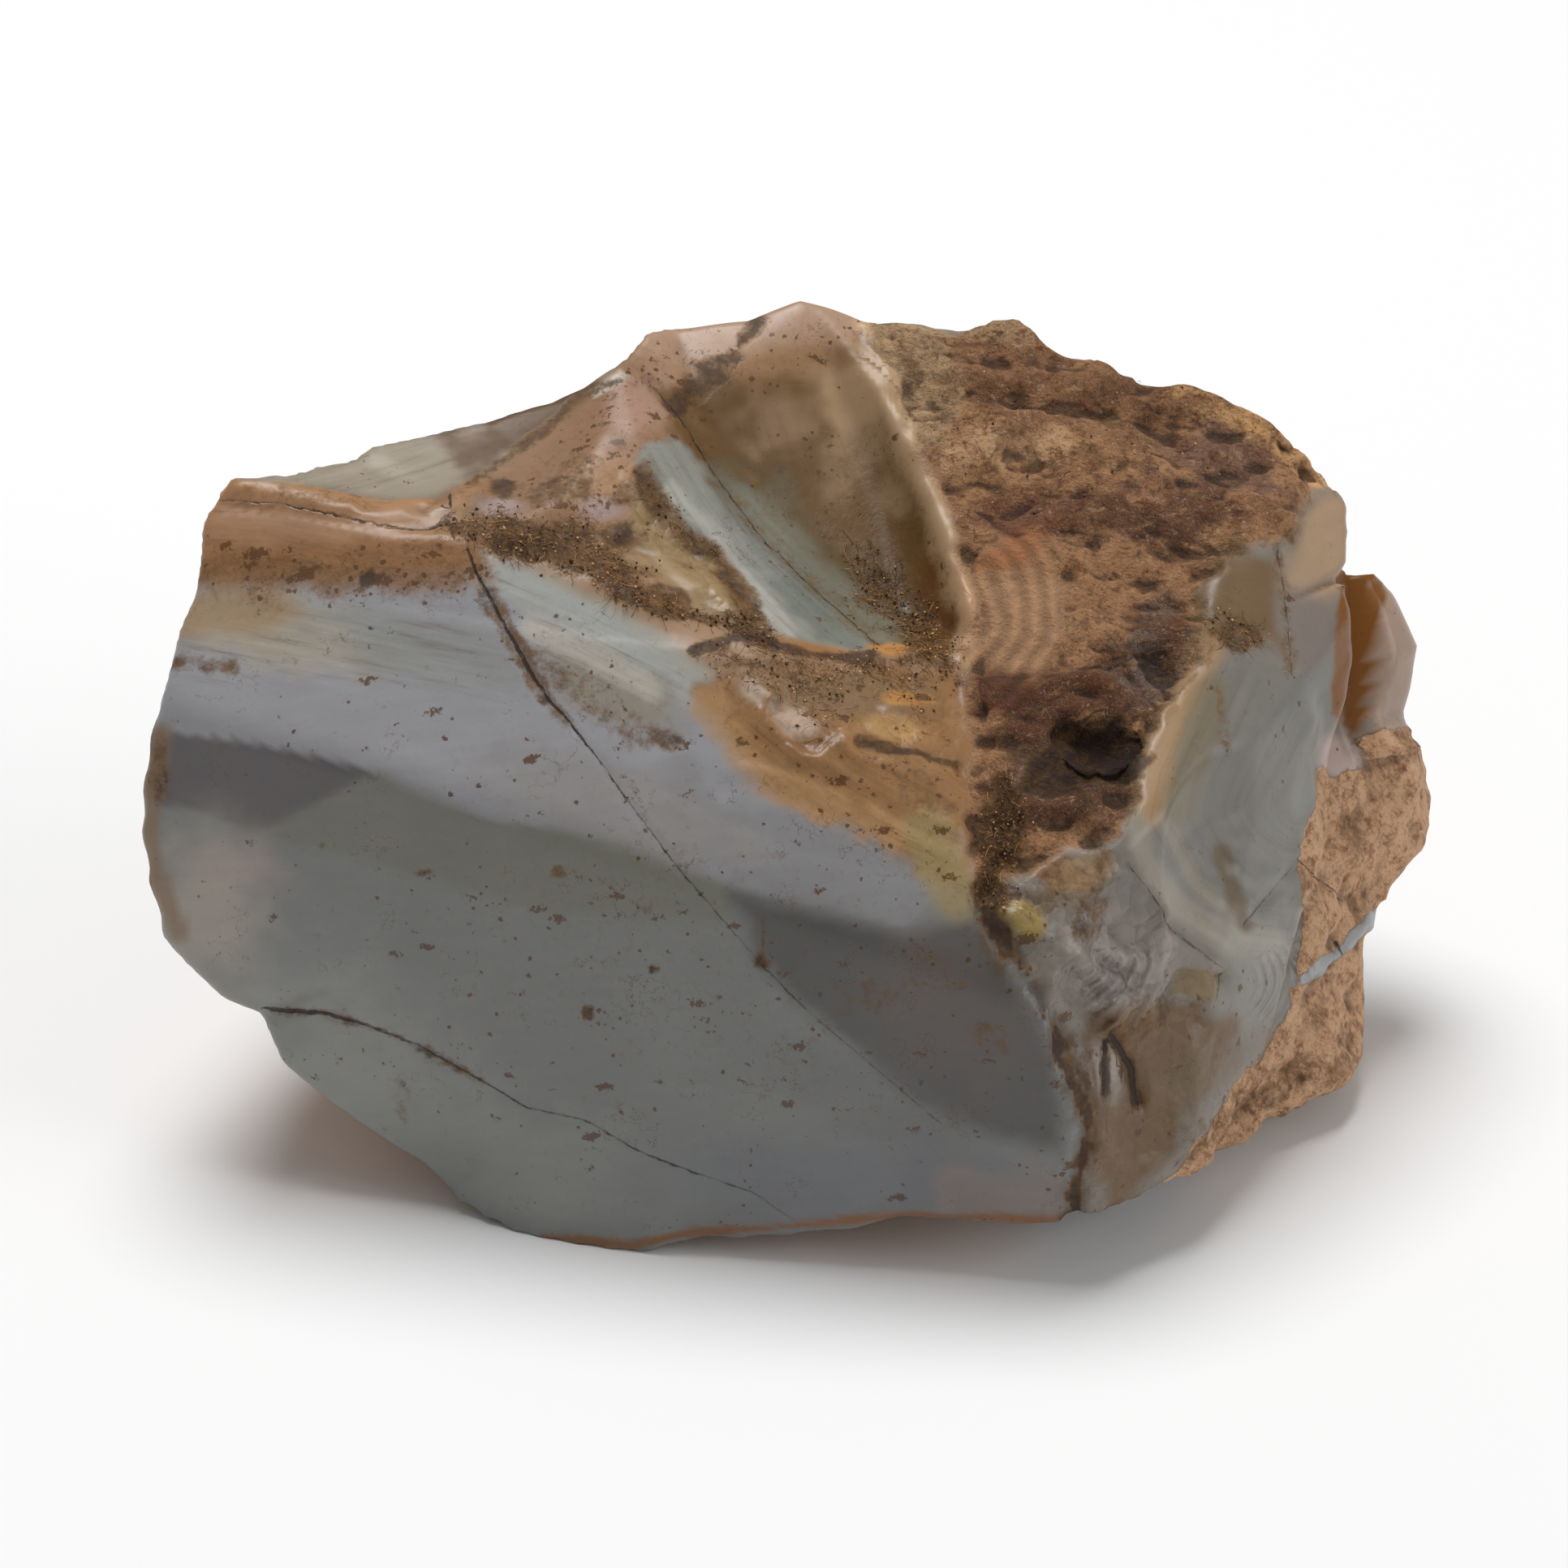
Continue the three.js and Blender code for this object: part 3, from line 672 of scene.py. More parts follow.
@dataclass
class SkinMesh:
    """Corner points and quads, which give the corners' normals and their neighbours' means."""

    points: Array
    quads: Array

    def normals(self) -> Array:
        """The area-weighted mean normal at each corner, from the quads' crossed diagonals.

        Returns:
            One direction of length 1 for each corner.
        """
        p = self.points[self.quads]
        crossed = np.cross(p[:, 2] - p[:, 0], p[:, 3] - p[:, 1])
        corners, count = self.quads.ravel(), len(self.points)
        total = [np.bincount(corners, np.repeat(column, 4), count) for column in crossed.T]
        return unit(np.stack(total, axis=1))

    def spread(self, values: Array, rounds: int) -> Array:
        """Averages values with their neighbours along the quads' sides.

        Args:
            values: one row for each corner.
            rounds: how many times over.

        Returns:
            The averaged rows.
        """
        start = self.quads.ravel()
        end = np.roll(self.quads, -1, axis=1).ravel()
        ways = np.concatenate([start, end]), np.concatenate([end, start])
        count = np.bincount(ways[0], minlength=len(self.points))
        for _ in range(rounds):
            columns = [np.bincount(ways[0], column[ways[1]], len(self.points)) for column in values.T]
            values = np.stack(columns, axis=1) / count[:, None]
        return values


@dataclass
class CubeLattice:
    """The corners on the outside of a cube of cells, which give one closed net of quads."""

    cells: int

    def __post_init__(self) -> None:
        """Numbers the corners that lie on the cube's six sides."""
        n = self.cells
        whole = np.arange(n + 1)
        x, y, z = np.meshgrid(whole, whole, whole, indexing="ij")
        skin = (x % n == 0) | (y % n == 0) | (z % n == 0)
        self.number = np.full(skin.shape, -1)
        self.number[skin] = np.arange(skin.sum())
        self.corners = np.stack([x[skin], y[skin], z[skin]], axis=1)

    def rays(self) -> Array:
        """Directions through the corners, spaced by equal angles: tan((2 i / n - 1) pi / 4)."""
        return unit(np.tan((2 * self.corners / self.cells - 1) * (math.pi / 4)))

    def sides(self) -> list[Array]:
        """The corner numbers of the six sides, each turned so that its quads face outward."""
        a, n = self.number, self.cells
        return [a[n], a[0].T, a[:, n].T, a[:, 0], a[:, :, n], a[:, :, 0].T]

    def quads(self) -> Array:
        """Four corner numbers for each cell of each side."""
        cells = [np.stack([s[:-1, :-1], s[1:, :-1], s[1:, 1:], s[:-1, 1:]], -1) for s in self.sides()]
        return np.concatenate([side.reshape(-1, 4) for side in cells])

    def refine(self, values: Array, times: int) -> tuple["CubeLattice", Array]:
        """Values on a lattice with more cells, straight between this one's corners.

        Args:
            values: one row for each corner.
            times: how many new cells go along each old one.

        Returns:
            The finer lattice and its rows.
        """
        fine = CubeLattice(self.cells * times)
        rows = np.zeros((len(fine.corners), values.shape[1]))
        place = np.arange(fine.cells + 1) / times
        low = np.minimum(place.astype(int), self.cells - 1)
        share = place - low
        for side, fine_side in zip(self.sides(), fine.sides()):
            grid = values[side]
            rise = grid[low] + (grid[low + 1] - grid[low]) * share[:, None, None]
            run = rise[:, low] + (rise[:, low + 1] - rise[:, low]) * share[None, :, None]
            rows[fine_side.ravel()] = run.reshape(-1, values.shape[1])
        return fine, rows


@dataclass(frozen=True)
class Seen:
    """Corners of the skin as the eye sees them, and the noise that frays the marks' edges."""

    points: Array
    across: Array
    up: Array
    facing: Array
    wobble: Array

    def only(self, chosen: Array) -> "Seen":
        """The chosen corners alone."""
        rows = (self.points, self.across, self.up, self.facing, self.wobble)
        return Seen(*(row[chosen] for row in rows))


class OnView:
    """A thing that lies along points of (across, up), on the side of the lump that faces the eye."""

    def span(self) -> tuple[Sequence[Pair], float]:
        """The points that it lies along, and how far past them it reaches."""
        raise NotImplementedError

    def near(self, seen: Seen) -> Array:
        """Which corners of the skin face the eye and lie in the box that the thing reaches.

        Args:
            seen: the skin's corners.

        Returns:
            True for the chosen ones.
        """
        path, reach = self.span()
        low, high = np.min(path, 0) - reach, np.max(path, 0) + reach
        inside = (seen.across > low[0]) & (seen.across < high[0]) & (seen.facing > 0)
        return inside & (seen.up > low[1]) & (seen.up < high[1])


@dataclass(frozen=True)
class Ridge(OnView):
    """A rounded ridge along a path of (across, up), or a groove where its height is below 0."""

    path: tuple[Pair, ...]
    height: float
    half_width: float
    uneven: float = 0.4

    def relief(self, seen: Seen) -> Array:
        """The height on the path, falling smoothly to 0 at one and a half half-widths.

        Args:
            seen: corners near the path.

        Returns:
            One height in millimetres for each corner.
        """
        distance = np.abs(beside(self.path, seen.across, seen.up)[0])
        lumps = 1 + self.uneven * noise(seen.points, 1.1, 31)
        return self.height * ease(1.5 - distance / self.half_width) * lumps

    def span(self) -> tuple[Sequence[Pair], float]:
        """The path, and a little more than the ridge's reach."""
        return self.path, 1.6 * self.half_width


@dataclass(frozen=True)
class Ledge(OnView):
    """A broken step along a path: the ground to its left stands higher and slopes off."""

    path: tuple[Pair, ...]
    height: float
    reach: float

    def relief(self, seen: Seen) -> Array:
        """The height just left of the path, falling to 0 over the reach and past the ends.

        Args:
            seen: corners near the path.

        Returns:
            One height in millimetres for each corner.
        """
        distance, _, past = beside(self.path, seen.across, seen.up)
        wandering = distance + 0.25 * noise(seen.points, 1.4, 32)
        high = ease(wandering / 0.4 + 0.5) * ease(1 - distance / self.reach)
        return self.height * high * ease(1 - past / 0.8)

    def span(self) -> tuple[Sequence[Pair], float]:
        """The path, and a little more than the ledge's reach."""
        return self.path, self.reach + 1


@dataclass(frozen=True)
class Ribs:
    """Ripples in arcs about a middle, between two distances and two angles."""

    middle: Pair
    inner: float
    outer: float
    pitch: float
    height: float
    first_degrees: float
    last_degrees: float
    fade_degrees: float = 14.0

    def turns(self, seen: Seen) -> tuple[Array, Array]:
        """Counts the ripples outward and fades their height at all four limits.

        Args:
            seen: the skin's corners.

        Returns:
            How many ripples lie between the middle and each place, and their height there.
        """
        right, rise = seen.across - self.middle[0], seen.up - self.middle[1]
        distance = np.hypot(right, rise)
        angle = np.degrees(np.arctan2(rise, right))
        inside = ease((distance - self.inner) / self.pitch) * ease((self.outer - distance) / self.pitch)
        inside *= ease((angle - self.first_degrees) / self.fade_degrees)
        inside *= ease((self.last_degrees - angle) / self.fade_degrees)
        return (distance + 0.3 * noise(seen.points, 2.5, 33)) / self.pitch, self.height * inside


class MarkKind(Enum):
    """What a mark changes: the stone's own colour, or what lies on it or runs through it."""

    TINT = "tone"
    STAIN = "stain"
    SOIL = "soil"
    SPECKS = "specks"
    LAYERS = "layers"
    CHIPS = "chips"
    BARE = "bare"


@dataclass(frozen=True)
class Area(OnView):
    """A soft-edged area inside an outline of (across, up)."""

    name: str
    outline: tuple[Pair, ...]
    strength: float = 1.0
    colour: Colour = (0, 0, 0)
    fade: float = 0.6
    ragged: float = 0.3

    def weight(self, seen: Seen) -> Array:
        """The strength inside, falling to 0 over the fade, with the edge moved by the wobble."""
        inside = inside_by(self.outline, seen.across, seen.up) + self.ragged * seen.wobble
        return self.strength * ease(inside / self.fade + 0.5)

    def span(self) -> tuple[Sequence[Pair], float]:
        """The outline, and more than its fade."""
        return self.outline, self.fade + 1.5


@dataclass(frozen=True)
class Layers(Area):
    """Fine layers inside an area, running along a path."""

    path: tuple[Pair, ...] = ()


@dataclass(frozen=True)
class Spot(OnView):
    """A soft oval: its middle, half length and half width, and how far its long way turns up."""

    name: str
    at: Pair
    size: Pair
    strength: float = 1.0
    colour: Colour = (0, 0, 0)
    turn: float = 0.0
    soft: float = 0.8
    ragged: float = 0.3

    def weight(self, seen: Seen) -> Array:
        """The strength, falling off from the middle as the oval's own distance grows.

        Args:
            seen: corners near the spot.

        Returns:
            Weights from 0 to the strength.
        """
        angle = math.radians(self.turn)
        right, rise = seen.across - self.at[0], seen.up - self.at[1]
        along = (right * math.cos(angle) + rise * math.sin(angle)) / self.size[0]
        beside_it = (rise * math.cos(angle) - right * math.sin(angle)) / self.size[1]
        distance = np.hypot(along, beside_it) + self.ragged * seen.wobble
        return self.strength * ease((1 - distance) / self.soft + 0.5)

    def span(self) -> tuple[Sequence[Pair], float]:
        """The middle, and the reach of the long way."""
        return (self.at,), max(self.size) * (1 + self.soft)


@dataclass(frozen=True)
class Trail(OnView):
    """A soft band of one width along a path of (across, up)."""

    name: str
    path: tuple[Pair, ...]
    width: float
    strength: float = 1.0
    colour: Colour = (0, 0, 0)
    ragged: float = 0.2

    def weight(self, seen: Seen) -> Array:
        """The strength on the path, falling to 0 at one and a half half-widths."""
        distance = np.abs(beside(self.path, seen.across, seen.up)[0]) / self.width
        return self.strength * ease(1.5 - distance + self.ragged * seen.wobble)

    def span(self) -> tuple[Sequence[Pair], float]:
        """The path, and twice the band's reach."""
        return self.path, 3 * self.width


@dataclass(frozen=True)
class Line:
    """A thin dark line, such as a crack, with its half width from start to end."""

    path: tuple[Pair, ...]
    widths: tuple[float, ...]


CREASE = (
    (-38.5, 3.3), (-33.3, 2.55), (-28.3, 1.55), (-25.1, 0.65), (-23.3, -0.5), (-18.15, -2.3),
    (-14.35, -2.7), (-9.0, -4.05), (-6.8, -5.05), (-3.2, -6.5), (3.05, -7.65), (7.6, -8.95), (9.95, -6.2),
)
SEAM = (
    (11.9, -6.9), (12.9, -8.5), (13.9, -10.2), (15.1, -11.8), (15.8, -13.3), (16.6, -14.5), (17.2, -15.7),
    (17.0, -16.8), (17.8, -18.4), (19.0, -20.2), (18.4, -22.1), (18.2, -24.0), (17.8, -27.0),
)
GASH = ((19.9, -15.9), (20.0, -19.2))
GASH_RIGHT = ((20.5, -15.6), (21.6, -17.6), (21.9, -19.7))
LONG_CRACK = (
    (-19.5, 14.45), (-18.9, 12.9), (-18.2, 11.65), (-17.3, 9.9), (-16.6, 8.65), (-15.55, 6.75),
    (-14.5, 5.15), (-13.3, 3.95), (-11.3, 1.3), (-8.8, -2.2), (-6.3, -5.45), (-1.55, -10.95), (1.7, -14.2),
    (9.7, -20.95),
)
LOW_CRACK = (
    (-31.9, -13.9), (-28.3, -14.1), (-25.8, -14.8), (-22.3, -16.2), (-18.3, -18.45), (-15.8, -19.95),
    (-12.3, -20.7), (-8.8, -22.7), (-4.8, -24.2), (-1.8, -25.2), (0.95, -27.2),
)
HOLLOW_CREASE = ((-8.3, 25.0), (-6.1, 22.4), (-4.0, 18.9), (-1.0, 15.0), (2.6, 11.6), (5.85, 8.75))
HOLLOW_RIM = (
    (5.6, 27.0), (6.6, 23.6), (7.95, 20.1), (9.55, 16.6), (10.5, 13.5), (11.4, 9.95), (11.2, 7.0),
)
MATRIX_RIM = (
    (34.3, 18.2), (32.75, 18.5), (31.2, 15.2), (30.2, 14.7), (27.5, 14.3), (25.3, 11.9), (26.15, 9.4),
    (26.2, 7.6), (25.1, 6.5), (22.8, 4.3), (22.2, 1.8), (21.6, -1.0), (20.8, -3.2),
)
CRUST_EDGE = (
    (33, 0.8), (35.5, 3.05), (39, 3.6), (43, 0), (42, -4), (40, -10), (40, -21), (26, -28), (20.8, -26.2),
    (23.9, -24.0), (25.9, -21.9), (27.5, -19.0), (29.8, -16.3), (31.2, -13.3), (31.4, -11.4), (32.1, -9.6),
    (32.0, -7.6), (31.75, -4.6), (32.6, -1.4),
)
MATRIX_EDGE = (
    (5, 30), (7.2, 24.2), (9.2, 19.4), (10.8, 14.6), (11.9, 11.0), (11.6, 6.5), (11.6, 2), (11.4, -4),
    (12.0, -7.0), (15.7, -4.9), *MATRIX_RIM[::-1], (24, 31),
)
LEDGE_DIRT = Area("dirt on the ledge", ((-21, 16.2), (-17.3, 16.6), (-13.2, 16), (-10.2, 14.8),
    (-8.2, 12.6), (-6.2, 11.4), (-9, 11), (-12.6, 12.8), (-18.6, 14.6)), 0.72, fade=1.8, ragged=0.9)
MOUND_DIRT = Trail("dirt under the mound", ((-9.2, 11.6), (-6.4, 10.6), (-3.4, 9.9), (-1.2, 9.2)), 0.7,
    0.75, ragged=0.9)
HOLLOW_DIRT = Area("dirt in the hollow", ((2.6, 15.8), (4.9, 14.6), (7.4, 12.4), (9.4, 10.2), (10.45, 7.2),
    (8.6, 6.2), (6.9, 8.3), (6.4, 9.6), (4.6, 11.8)), 0.6, fade=2.2, ragged=1)
LIP_DIRT = Area("dirt over the lip", ((-6, 8), (-4.4, 8.9), (-0.6, 8.8), (4.6, 7.9), (8.4, 7.6),
    (10.4, 6.6), (8.2, 4.9), (4.2, 5.2), (1.9, 4), (-2.3, 6.3)), 0.45, fade=1.8, ragged=1)
GROUND_MARKS = (
    Area("front", ((-41, 4), *CREASE, *SEAM, (17.8, -29), (-20, -31), (-41, -12)), 1, (122, 123, 120), 0.4,
        0.1),
    Area("top ground", ((-40, 12.5), (-28, 13), (-19, 13), (-13.3, 11), (-7, 7), (-3, 3), (2.2, -1.7),
        (6.7, -4.2), (11.9, -6.9), (15.7, -4.9), *MATRIX_RIM[::-1], (20, 31), (0, 33), (-15, 28),
        (-41, 22)), 1, (150, 120, 92), 1),
    Area("right ground", (*SEAM[::-1], (15.7, -4.9), *MATRIX_RIM[::-1], (42, 18), (42, -5), (39, -26),
        (17.8, -29)), 1, (132, 122, 110)),
)
OPAL_MARKS = (
    # Painted reflection: the upper front above the crease is painted paler, standing in for the soft light
    # it reflects as it tilts up.
    Area("upper band with painted reflection", (*CREASE, (9.2, -3.7), (4.2, -2.2), (-0.3, 0.8), (-3.3, 3.8), (-6.3, 6.8),
        (-11.3, 10.8), (-16.3, 13.2), (-20.3, 13.6), (-26.8, 12.6), (-40, 12.2), (-40, 5.3)), 1,
        (150, 149, 152), 0.3, 0.06),
    Spot("band toward the corner", (1.7, -4.7), (12, 3.6), 0.8, (126, 125, 125), -17),
    Spot("middle of the band", (-10.3, -1.7), (8, 3), 0.7, (140, 136, 133), -17),
    Trail("pale strip below the soil", ((-18, 13.2), (-13.3, 10.9), (-7.8, 8.1), (-4.6, 5.4)), 1.2, 0.8,
        (168, 170, 164)),
    Spot("cream at the left", (-30.5, 9.2), (7.5, 2), 0.8, (166, 156, 138), -8),
    Spot("grey above the band", (-22.3, 8.3), (7, 2.2), 0.7, (138, 140, 136), -14),
    Spot("dun right of the crack", (-10.4, 6), (4.6, 1.7), 0.75, (138, 129, 112), -24),
    Trail("cream right of the crack", ((-15.4, 9.7), (-11.5, 7.8), (-8.2, 5.8)), 0.8, 0.8, (178, 172, 161),
        0.4),
    Area("violet wedge", ((-40, 3.4), (-33.3, 2.55), (-28.3, 1.55), (-25.1, 0.65), (-26.65, -0.15),
        (-31.25, -2.6), (-33.3, -2.95), (-34.85, -1.85), (-40, -0.9)), 1, (95, 90, 91), 0.4, 0.06),
    Area("olive under the crease", ((-25.1, 0.65), (-18.15, -2.3), (-9, -4.05), (-3.2, -6.5), (-3, -8.2),
        (-13.3, -8.2), (-17.3, -7.2), (-21.3, -5.95), (-28.3, -3.95), (-33.3, -2.95), (-31.25, -2.6)), 0.9,
        (116, 115, 104), 1.4),
    Spot("pale left end", (-35.6, -7.6), (3.2, 4.8), 0.9, (165, 157, 146), soft=1.4),
    Spot("pink glow at the left", (-33.8, -5.2), (3, 1.3), 0.45, (172, 150, 146), -10, 1.6),
    Spot("pale lower left", (-27.3, -17.7), (6.5, 5), 0.7, (148, 148, 142), -40, 1.6),
    Spot("pale low front", (-17, -23.5), (9, 3.4), 0.7, (140, 142, 136), -15, 1.4),
    Area("mauve right of the crack", ((-3.3, -6.7), (7.2, -9.2), (11.7, -8.2), (16.7, -16.7), (17.2, -22.7),
        (9.7, -20.95), (1.7, -14.2), (-1.55, -10.95)), 0.95, (83, 82, 80), 1.6),
    Spot("purple by the seam", (10.6, -14.4), (5, 4), 0.8, (98, 90, 87), -50, 1.4),
    Spot("grey low on the right", (5.7, -20.2), (7, 2.4), 0.7, (110, 110, 108), -30, 1.4),
    Spot("blue along the bottom", (3.2, -24.4), (10, 2.4), 0.6, (110, 111, 117), soft=1.4),
    Area("lilac patch", ((8.7, -24), (16.9, -23.6), (17.6, -28), (8.5, -28)), 0.8, (132, 121, 116), 1.8, 1),
    Trail("rust on the bottom rim", ((-14.8, -27.9), (-9.3, -28.4), (-5.8, -27.7), (1.7, -27.1),
        (7.7, -26.5), (17.2, -26.9)), 0.25, 0.9, (132, 88, 50), 0.6),
    Trail("brown on the left rim", ((-38.3, 3.2), (-39.2, -0.9), (-39, -5.2), (-37.3, -9.2)), 0.6, 0.7,
        (134, 104, 68)),
)
TOP_LEFT_MARKS = (
    Area("pink layers", ((-37.5, 16.3), (-35, 18.4), (-33.3, 18.3), (-28.15, 17.25), (-22.3, 16.3),
        (-19.3, 15.05), (-18.3, 13.3), (-23.3, 13.4), (-28.3, 13.6), (-38.5, 13.2)), 1, (158, 119, 87), 1),
    Area("rosy brown under them", ((-38.5, 14.4), (-28.3, 14.9), (-19.2, 15), (-18, 12.6), (-24.3, 12.2),
        (-30.3, 11.9), (-38.5, 12)), 0.8, (136, 94, 56), 1.4, 0.6),
    Area("olive patch", ((-38.8, 12), (-29.8, 12), (-29.6, 10), (-33.3, 9.4), (-38.2, 9.2)), 0.8,
        (158, 131, 97), 1.6, 0.6),
    Area("scoop", ((-33.8, 18.5), (-33.8, 20.5), (-20, 24), (-9, 28), (-9.95, 24.8), (-12.6, 23.8),
        (-14.5, 21.8), (-16.55, 20.3), (-18.9, 18.8), (-22.3, 17.2), (-28.15, 17.7)), 1, (152, 141, 124),
        0.5),
    # The scoop's side is brown, and painted shade darkens it further.
    Trail("painted shade on the scoop's brown side", ((-19.2, 20.4), (-16.6, 22.2), (-13.1, 24)), 1.7, 0.9, (90, 62, 32),
        0.6),
    Trail("peach bead", ((-35, 18.3), (-31.3, 18.05), (-28.15, 17.4), (-24.3, 16.8), (-20.3, 17.2),
        (-18.8, 18.3)), 0.45, 0.9, (164, 121, 84), 0.3),
    Area("pink slope", ((-18.6, 18.6), (-15.3, 21.4), (-11.8, 24.2), (-8.8, 27.6), (-6.8, 27.8),
        (-5.8, 26.3), (-8, 24.2), (-7.55, 22.3), (-7.4, 20.3), (-9.4, 18.3), (-9.9, 16.3), (-13.3, 15.2),
        (-19.3, 15.4)), 1, (142, 108, 80), 1),
    Spot("light of the slope", (-11.4, 18.6), (2.6, 1.5), 0.85, (168, 132, 100), 20),
    Spot("rose by the knob", (-8.6, 23.6), (2.2, 1.6), 0.7, (172, 138, 122), 30),
    # Painted highlights: two small lavender glints of light on the slope.
    Spot("lavender glints", (-17.5, 17), (1.4, 0.6), 0.8, (168, 150, 148)),
    Spot("lavender glint right", (-11.25, 16.9), (1.4, 0.7), 0.8, (158, 140, 136)),
    Trail("white flake", ((-11.6, 24.15), (-9.95, 25.1)), 0.3, 0.9, (210, 200, 184)),
    Area("knob", ((-9.8, 27.3), (-8.8, 29), (0.95, 31), (5.5, 29.5), (5.7, 26.3), (1.7, 24.8), (-3.3, 25.3),
        (-5.8, 24.3)), 1, (170, 138, 114), 2.6, 1.4),
)
HOLLOW_MARKS = (
    Area("hollow wall", ((-7.6, 24.2), (-3.3, 26.3), (1.7, 26.8), (5.7, 27.3), (7.5, 22.8), (8.9, 18.8),
        (10.7, 14.3), (11.9, 11.75), (11.6, 8.3), (8.7, 7.8), (6.2, 8.6), (2.6, 11.6), (-1, 15), (-4, 18.9),
        (-6.1, 22.4)), 1, (100, 72, 36), 1, 0.6),
    Spot("grey head of the hollow", (-1.2, 21.9), (4.8, 2.2), 0.75, (142, 114, 88), 14, 1.2, 0.5),
    Spot("tan under the knob", (-0.6, 26), (5.4, 1.4), 0.8, (154, 118, 84), 4, 1.2, 0.6),
    Spot("pale upper wall", (4.6, 21.2), (4.4, 2.2), 0.75, (154, 126, 96), -62, 1.2, 0.6),
    Spot("cream by the ribs", (4.2, 24.2), (1.6, 2.6), 0.7, (172, 142, 106), -30, ragged=0.5),
    Trail("brown of the wall", ((5, 16.8), (7.4, 14.2), (9.4, 12.2)), 1.7, 0.7, (96, 66, 26), 0.8),
    Trail("olive foot of the wall", ((-4.6, 21), (-1.6, 17.4), (2.2, 14), (7.2, 10)), 2, 0.85, (90, 64, 28),
        0.8),
    Area("ochre wall", ((9, 14.6), (10.7, 13.6), (11.7, 10), (11.2, 7.4), (8.7, 8), (7.6, 10.6)), 0.9,
        (98, 58, 16), 1.2),
    Trail("pale rim of the hollow", HOLLOW_RIM, 0.85, 0.85, (174, 144, 110), 0.6),
    Area("pale wedge", ((-9.6, 20), (-8.3, 20.9), (-6.6, 21.2), (-4.6, 19.2), (-1.4, 15), (2.3, 11.6),
        (5.4, 8.9), (4.7, 8.05), (0.95, 8.6), (-1.75, 9.8), (-2.45, 11.75), (-3.95, 14.25), (-6.15, 15.55),
        (-7.6, 17.35)), 1, (134, 134, 126), ragged=0.5),
    Trail("blue right of the wedge", ((-3.6, 17.9), (-0.4, 13.9), (3, 10.6)), 1.1, 0.8, (116, 119, 115),
        0.5),
    # Painted highlight: the brightest white strip along the wedge's left edge.
    Trail("painted highlight left of the wedge", ((-7, 18.2), (-4.6, 15.8), (-2.2, 12.4), (0.3, 9.4)), 0.5, 0.8,
        (166, 164, 154), 0.5),
    Area("blue floor", ((-1, 12.4), (1.2, 13.2), (5.4, 9.6), (4.6, 8.2), (1.9, 8.6)), 0.8, (106, 112, 104),
        ragged=0.6),
    Trail("olive fade right of it", ((-2.6, 18.6), (1.4, 14.8), (6.4, 10.4)), 1.5, 0.7, (94, 84, 62), 0.8),
    Trail("grey right of the crease", ((-2.4, 17.6), (1.4, 13.6), (6.4, 9.2)), 1.1, 0.75, (114, 115, 102),
        0.6),
    Area("cream mound", ((-9.4, 18), (-7.9, 17.2), (-6.3, 15.4), (-4.2, 14), (-2.7, 11.6), (-2.1, 9.9),
        (-4.6, 10.6), (-7.2, 12.6), (-9.4, 14.6)), 0.85, (148, 124, 86), 0.9),
    Trail("brown edge of the mound", ((-8.6, 19.4), (-7.9, 17.3), (-6.3, 15.4), (-4.1, 14), (-2.6, 11.7),
        (-1.9, 9.9)), 0.6, 0.8, (104, 74, 40), 0.5),
    Area("lip", ((-5.3, 5.8), (-0.8, 6.8), (10.7, 7.4), (12.7, 3.3), (12.4, -1.7), (11.9, -6.9),
        (9.95, -6.2), (6.7, -4.2), (2.2, -1.7), (-1.8, 0.8), (-3.8, 3.3)), 1, (144, 106, 68), 1.6, 0.8),
    Trail("amber margin of the lip", ((-4.5, 4.6), (-2.5, 1.6), (2.2, -0.95), (6.7, -3.2)), 1, 0.7,
        (174, 136, 94), 0.8),
    Trail("yellow end of the lip", ((8.9, -3), (10.6, -6.9)), 1.5, 0.8, (152, 134, 92)),
    Spot("grey sand on the lip", (3.2, 5.6), (5.6, 1.3), 0.8, (128, 104, 76), -3),
    Spot("white flake on the lip", (0.9, 3.7), (1.6, 1), 0.9, (196, 170, 150), -24, 0.5),
    Spot("orange chip", (6.6, 8.2), (1.4, 0.42), 0.95, (184, 128, 66), -5, 0.5),
    Spot("orange chip below", (7.8, 5.2), (1.5, 0.5), 0.9, (182, 128, 70), -4, 0.5),
    Spot("yellow chip", (6.9, 3.4), (2, 0.7), 0.9, (176, 138, 90), -8, 0.5),
    Trail("ochre edge", ((-2.3, 9.2), (1.7, 8.3), (4.7, 7.7)), 0.35, 0.8, (152, 106, 56)),
)
